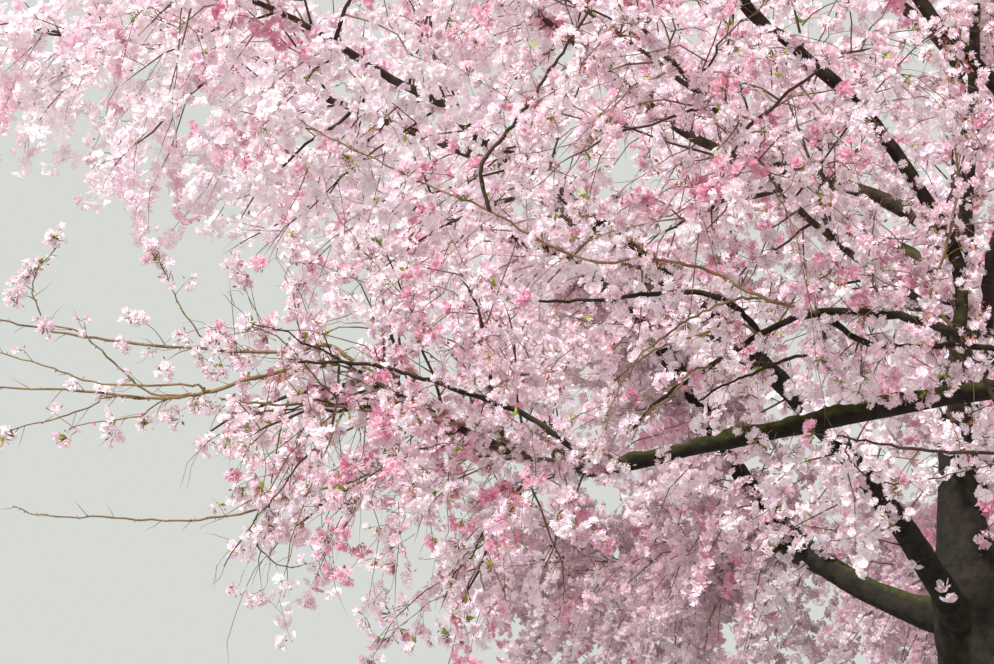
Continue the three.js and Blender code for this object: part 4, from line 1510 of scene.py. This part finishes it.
# Two colours mixed by soft noise, and the noise itself
def makeMottle():
    group, given, gives = newGroup(
        "mottle",
        [("Light", colourSocket, (1, 1, 1, 1)), ("Dark", colourSocket, (0, 0, 0, 1)),
         ("Scale", numberSocket, 20.0), ("Contrast", numberSocket, 1.0)],
        [("Colour", colourSocket), ("Mask", numberSocket)],
    )
    noise = addNoise(group, mottleRule)
    centred = addMaths(group, "SUBTRACT", {1: mottleRule["middle"]})
    steep = addMaths(group, "MULTIPLY_ADD", {2: mottleRule["middle"]}, clamp=True)
    mixed = addNode(group, "ShaderNodeMix", data_type="RGBA")
    join(
        group, (given, "Scale", noise, "Scale"), (noise, "Fac", centred, 0), (centred, 0, steep, 0),
        (given, "Contrast", steep, 1), (steep, 0, mixed, "Factor"), (given, "Dark", mixed, "A"),
        (given, "Light", mixed, "B"), (mixed, "Result", gives, "Colour"), (steep, 0, gives, "Mask"),
    )
    return group


# Moss where a surface faces up, in soft patches
def makeMossCover():
    group, given, gives = newGroup(
        "mossCover",
        [("Bark", colourSocket, (0, 0, 0, 1)), ("Moss", colourSocket, (0, 1, 0, 1)),
         ("From", numberSocket, 0.2), ("Patch", numberSocket, 14.0)],
        [("Colour", colourSocket), ("Mask", numberSocket)],
    )
    surface, apart = addNode(group, "ShaderNodeNewGeometry"), addNode(group, "ShaderNodeSeparateXYZ")
    noise = addNoise(group, mossRule)
    uneven = addMaths(group, "MULTIPLY_ADD", {1: mossRule["uneven"]})
    shift = addMaths(group, "SUBTRACT", {1: mossRule["middle"]})
    above = addMaths(group, "SUBTRACT", {})
    steep = addMaths(group, "MULTIPLY", {1: mossRule["edge"]}, clamp=True)
    mixed = addNode(group, "ShaderNodeMix", data_type="RGBA")
    join(
        group, (surface, "Normal", apart, 0), (given, "Patch", noise, "Scale"), (noise, "Fac", uneven, 0),
        (apart, "Z", uneven, 2), (uneven, 0, shift, 0), (shift, 0, above, 0), (given, "From", above, 1),
        (above, 0, steep, 0), (steep, 0, mixed, "Factor"), (given, "Bark", mixed, "A"),
        (given, "Moss", mixed, "B"), (mixed, "Result", gives, "Colour"), (steep, 0, gives, "Mask"),
    )
    return group


mottle = makeMottle()
mossCover = makeMossCover()


def plainColour(red, green, blue):
    def linear(value):
        value /= 255
        return value / 12.92 if value <= 0.04045 else ((value + 0.055) / 1.055) ** 2.4

    return (linear(red), linear(green), linear(blue), 1)


def startMaterial(name):
    material = bpy.data.materials.new(name)
    material.use_nodes = True
    return material, material.node_tree, material.node_tree.nodes["Principled BSDF"]


def placeMottle(tree, scale, contrast, tones=None):
    node = addNode(tree, "ShaderNodeGroup", node_tree=mottle)
    setInputs(node, Scale=scale, Contrast=contrast)
    if tones:
        setInputs(node, Light=plainColour(*tones["light"]), Dark=plainColour(*tones["dark"]))
    return node


petalLook = {
    "shell": {"light": (255, 250, 251), "dark": (253, 239, 243)},
    "blush": {"light": (255, 244, 248), "dark": (252, 230, 237)},
    "rosy": {"light": (253, 230, 238), "dark": (246, 207, 220)},
    "deep": {"light": (246, 198, 215), "dark": (231, 153, 178)},
    # painted shade: the greyed, darker mauve petals of the shaded backdrop masses
    "paintedShadeMauve": {"light": (232, 211, 214), "dark": (205, 180, 186)},
    "scale": 32.0, "contrast": 2.6, "through": 0.32, "roughness": 0.62, "specular": 0.25,
}


# Petals: soft, thin enough for light to come through
def makePetalMaterial(shadeName):
    material, tree, shader = startMaterial("petal_" + shadeName)
    tone = placeMottle(tree, petalLook["scale"], petalLook["contrast"], petalLook[shadeName])
    setInputs(shader, Roughness=petalLook["roughness"], Specular_IOR_Level=petalLook["specular"])
    through = addNode(tree, "ShaderNodeBsdfTranslucent")
    both = addNode(tree, "ShaderNodeMixShader")
    both.inputs[0].default_value = petalLook["through"]
    join(
        tree, (tone, "Colour", shader, "Base Color"), (tone, "Colour", through, "Color"),
        (shader, 0, both, 1), (through, 0, both, 2), (both, 0, tree.nodes["Material Output"], "Surface"),
    )
    return material


smallLooks = {
    "scales": {"light": (172, 142, 88), "dark": (128, 84, 62), "scale": 60.0, "roughness": 0.7},
    "buds": {"light": (230, 124, 158), "dark": (196, 76, 114), "scale": 60.0, "roughness": 0.55},
    "stalks": {"light": (186, 142, 104), "dark": (156, 96, 84), "scale": 50.0, "roughness": 0.6},
    "leaves": {"light": (178, 190, 78), "dark": (136, 146, 52), "scale": 40.0, "roughness": 0.5},
    "twigs": {"light": (146, 120, 90), "dark": (84, 62, 52), "scale": 16.0, "roughness": 0.8},
    "branches": {"light": (88, 70, 54), "dark": (46, 36, 30), "scale": 18.0, "roughness": 0.85},
    "shoots": {"light": (150, 124, 86), "dark": (100, 78, 54), "scale": 22.0, "roughness": 0.7},
}
smallSurface = {"contrast": 2.2, "specular": 0.3}


def makeSmallMaterial(kind):
    look = smallLooks[kind]
    material, tree, shader = startMaterial("plain_" + kind)
    tone = placeMottle(tree, look["scale"], smallSurface["contrast"], look)
    setInputs(shader, Roughness=look["roughness"], Specular_IOR_Level=smallSurface["specular"])
    join(tree, (tone, "Colour", shader, "Base Color"))
    return material


# Bark colours. The near-black bark of the trunk, the leader, the main boughs and the mossy bough is partly
# the bark's own dark colour and partly painted shade
darkBarkWithPaintedShade = {"light": (50, 45, 35), "dark": (24, 22, 17)}
barkLook = {
    "trunk": {**darkBarkWithPaintedShade, "mossFrom": 0.60}, "leader": {**darkBarkWithPaintedShade, "mossFrom": 0.60},
    "main": {**darkBarkWithPaintedShade, "mossFrom": 0.50},
    "mossy": {"light": (46, 39, 31), "dark": (22, 18, 15), "mossFrom": 0.05},
    "side": {"light": (84, 70, 54), "dark": (42, 34, 28), "mossFrom": 0.35},
    "limbs": {"light": (60, 49, 36), "dark": (30, 25, 19), "mossFrom": 0.30},
    "scale": 26.0, "contrast": 2.8, "roughness": 0.88, "specular": 0.2,
    "moss": {"light": (74, 76, 32), "dark": (38, 40, 18), "scale": 60.0, "contrast": 2.4, "patch": 16.0},
    "bump": {"strength": 0.5, "depth": 0.004, "scale": 140.0, "contrast": 2.0},
}


# Bark, with moss on top of it and a fine roughness
def makeBarkMaterial(limbKind):
    material, tree, shader = startMaterial(limbKind + "_bark")
    look, moss, rough = barkLook, barkLook["moss"], barkLook["bump"]
    bark = placeMottle(tree, look["scale"], look["contrast"], look[limbKind])
    green = placeMottle(tree, moss["scale"], moss["contrast"], moss)
    cover = addNode(tree, "ShaderNodeGroup", node_tree=mossCover)
    setInputs(cover, From=look[limbKind]["mossFrom"], Patch=moss["patch"])
    speckle = placeMottle(tree, rough["scale"], rough["contrast"])
    bump = addNode(tree, "ShaderNodeBump")
    setInputs(bump, Strength=rough["strength"], Distance=rough["depth"])
    setInputs(shader, Roughness=look["roughness"], Specular_IOR_Level=look["specular"])
    join(
        tree, (bark, "Colour", cover, "Bark"), (green, "Colour", cover, "Moss"),
        (cover, "Colour", shader, "Base Color"), (speckle, "Mask", bump, "Height"),
        (bump, "Normal", shader, "Normal"),
    )
    return material


for look, alike in limbsOf.items():
    names = [limb["name"] for limb in alike]
    addPiece(look + "_bark", barkPiles[look], makeBarkMaterial(look), names)

materialsOf = {"petals_" + shadeName: makePetalMaterial(shadeName) for shadeName in shadeNames}
materialsOf.update({kind: makeSmallMaterial(kind) for kind in smallLooks})
materialsOf["limbs"] = makeBarkMaterial("limbs")
for group in pileGroups:
    inGroup = ["blossom_" + space["name"] for space in spaces if groupOf(space["storey"]) == group]
    for kind, pile in filledPiles(group).items():
        addPiece(f"{group}_{kind}", pile, materialsOf[kind], inGroup)
print("stage: pieces are made")


# Floor, world and light
studio = {
    "floorSize": 220.0, "floorColour": (162, 164, 159), "floorRoughness": 0.9,
    "skyColour": (222, 224, 220), "skyStrength": 0.94,
    "sunStrength": 5.0, "sunWay": (0.42, 0.50, -0.76), "sunSoftness": 6.0, "sunColour": (252, 249, 255),
}


def addStudio():
    bpy.ops.mesh.primitive_plane_add(size=studio["floorSize"])
    floor = bpy.context.object
    floor.name = "floor"
    material, _, shader = startMaterial("floor")
    floorColour = plainColour(*studio["floorColour"])
    setInputs(shader, Base_Color=floorColour, Roughness=studio["floorRoughness"])
    floor.data.materials.append(material)
    world = bpy.data.worlds.new("studio")
    bpy.context.scene.world = world
    world.use_nodes = True
    tree = world.node_tree
    sky = tree.nodes["Background"]
    setInputs(sky, Color=plainColour(*studio["skyColour"]), Strength=studio["skyStrength"])
    data = bpy.data.lights.new("softSun", "SUN")
    data.energy = studio["sunStrength"]
    data.angle = math.radians(studio["sunSoftness"])
    data.color = plainColour(*studio["sunColour"])[:3]
    sun = bpy.data.objects.new("softSun", data)
    sun.rotation_euler = Vector(studio["sunWay"]).to_track_quat("-Z", "Y").to_euler()
    bpy.context.scene.collection.objects.link(sun)
    bpy.context.scene.view_settings.view_transform = "Standard"


addStudio()
print("stage: studio is set")
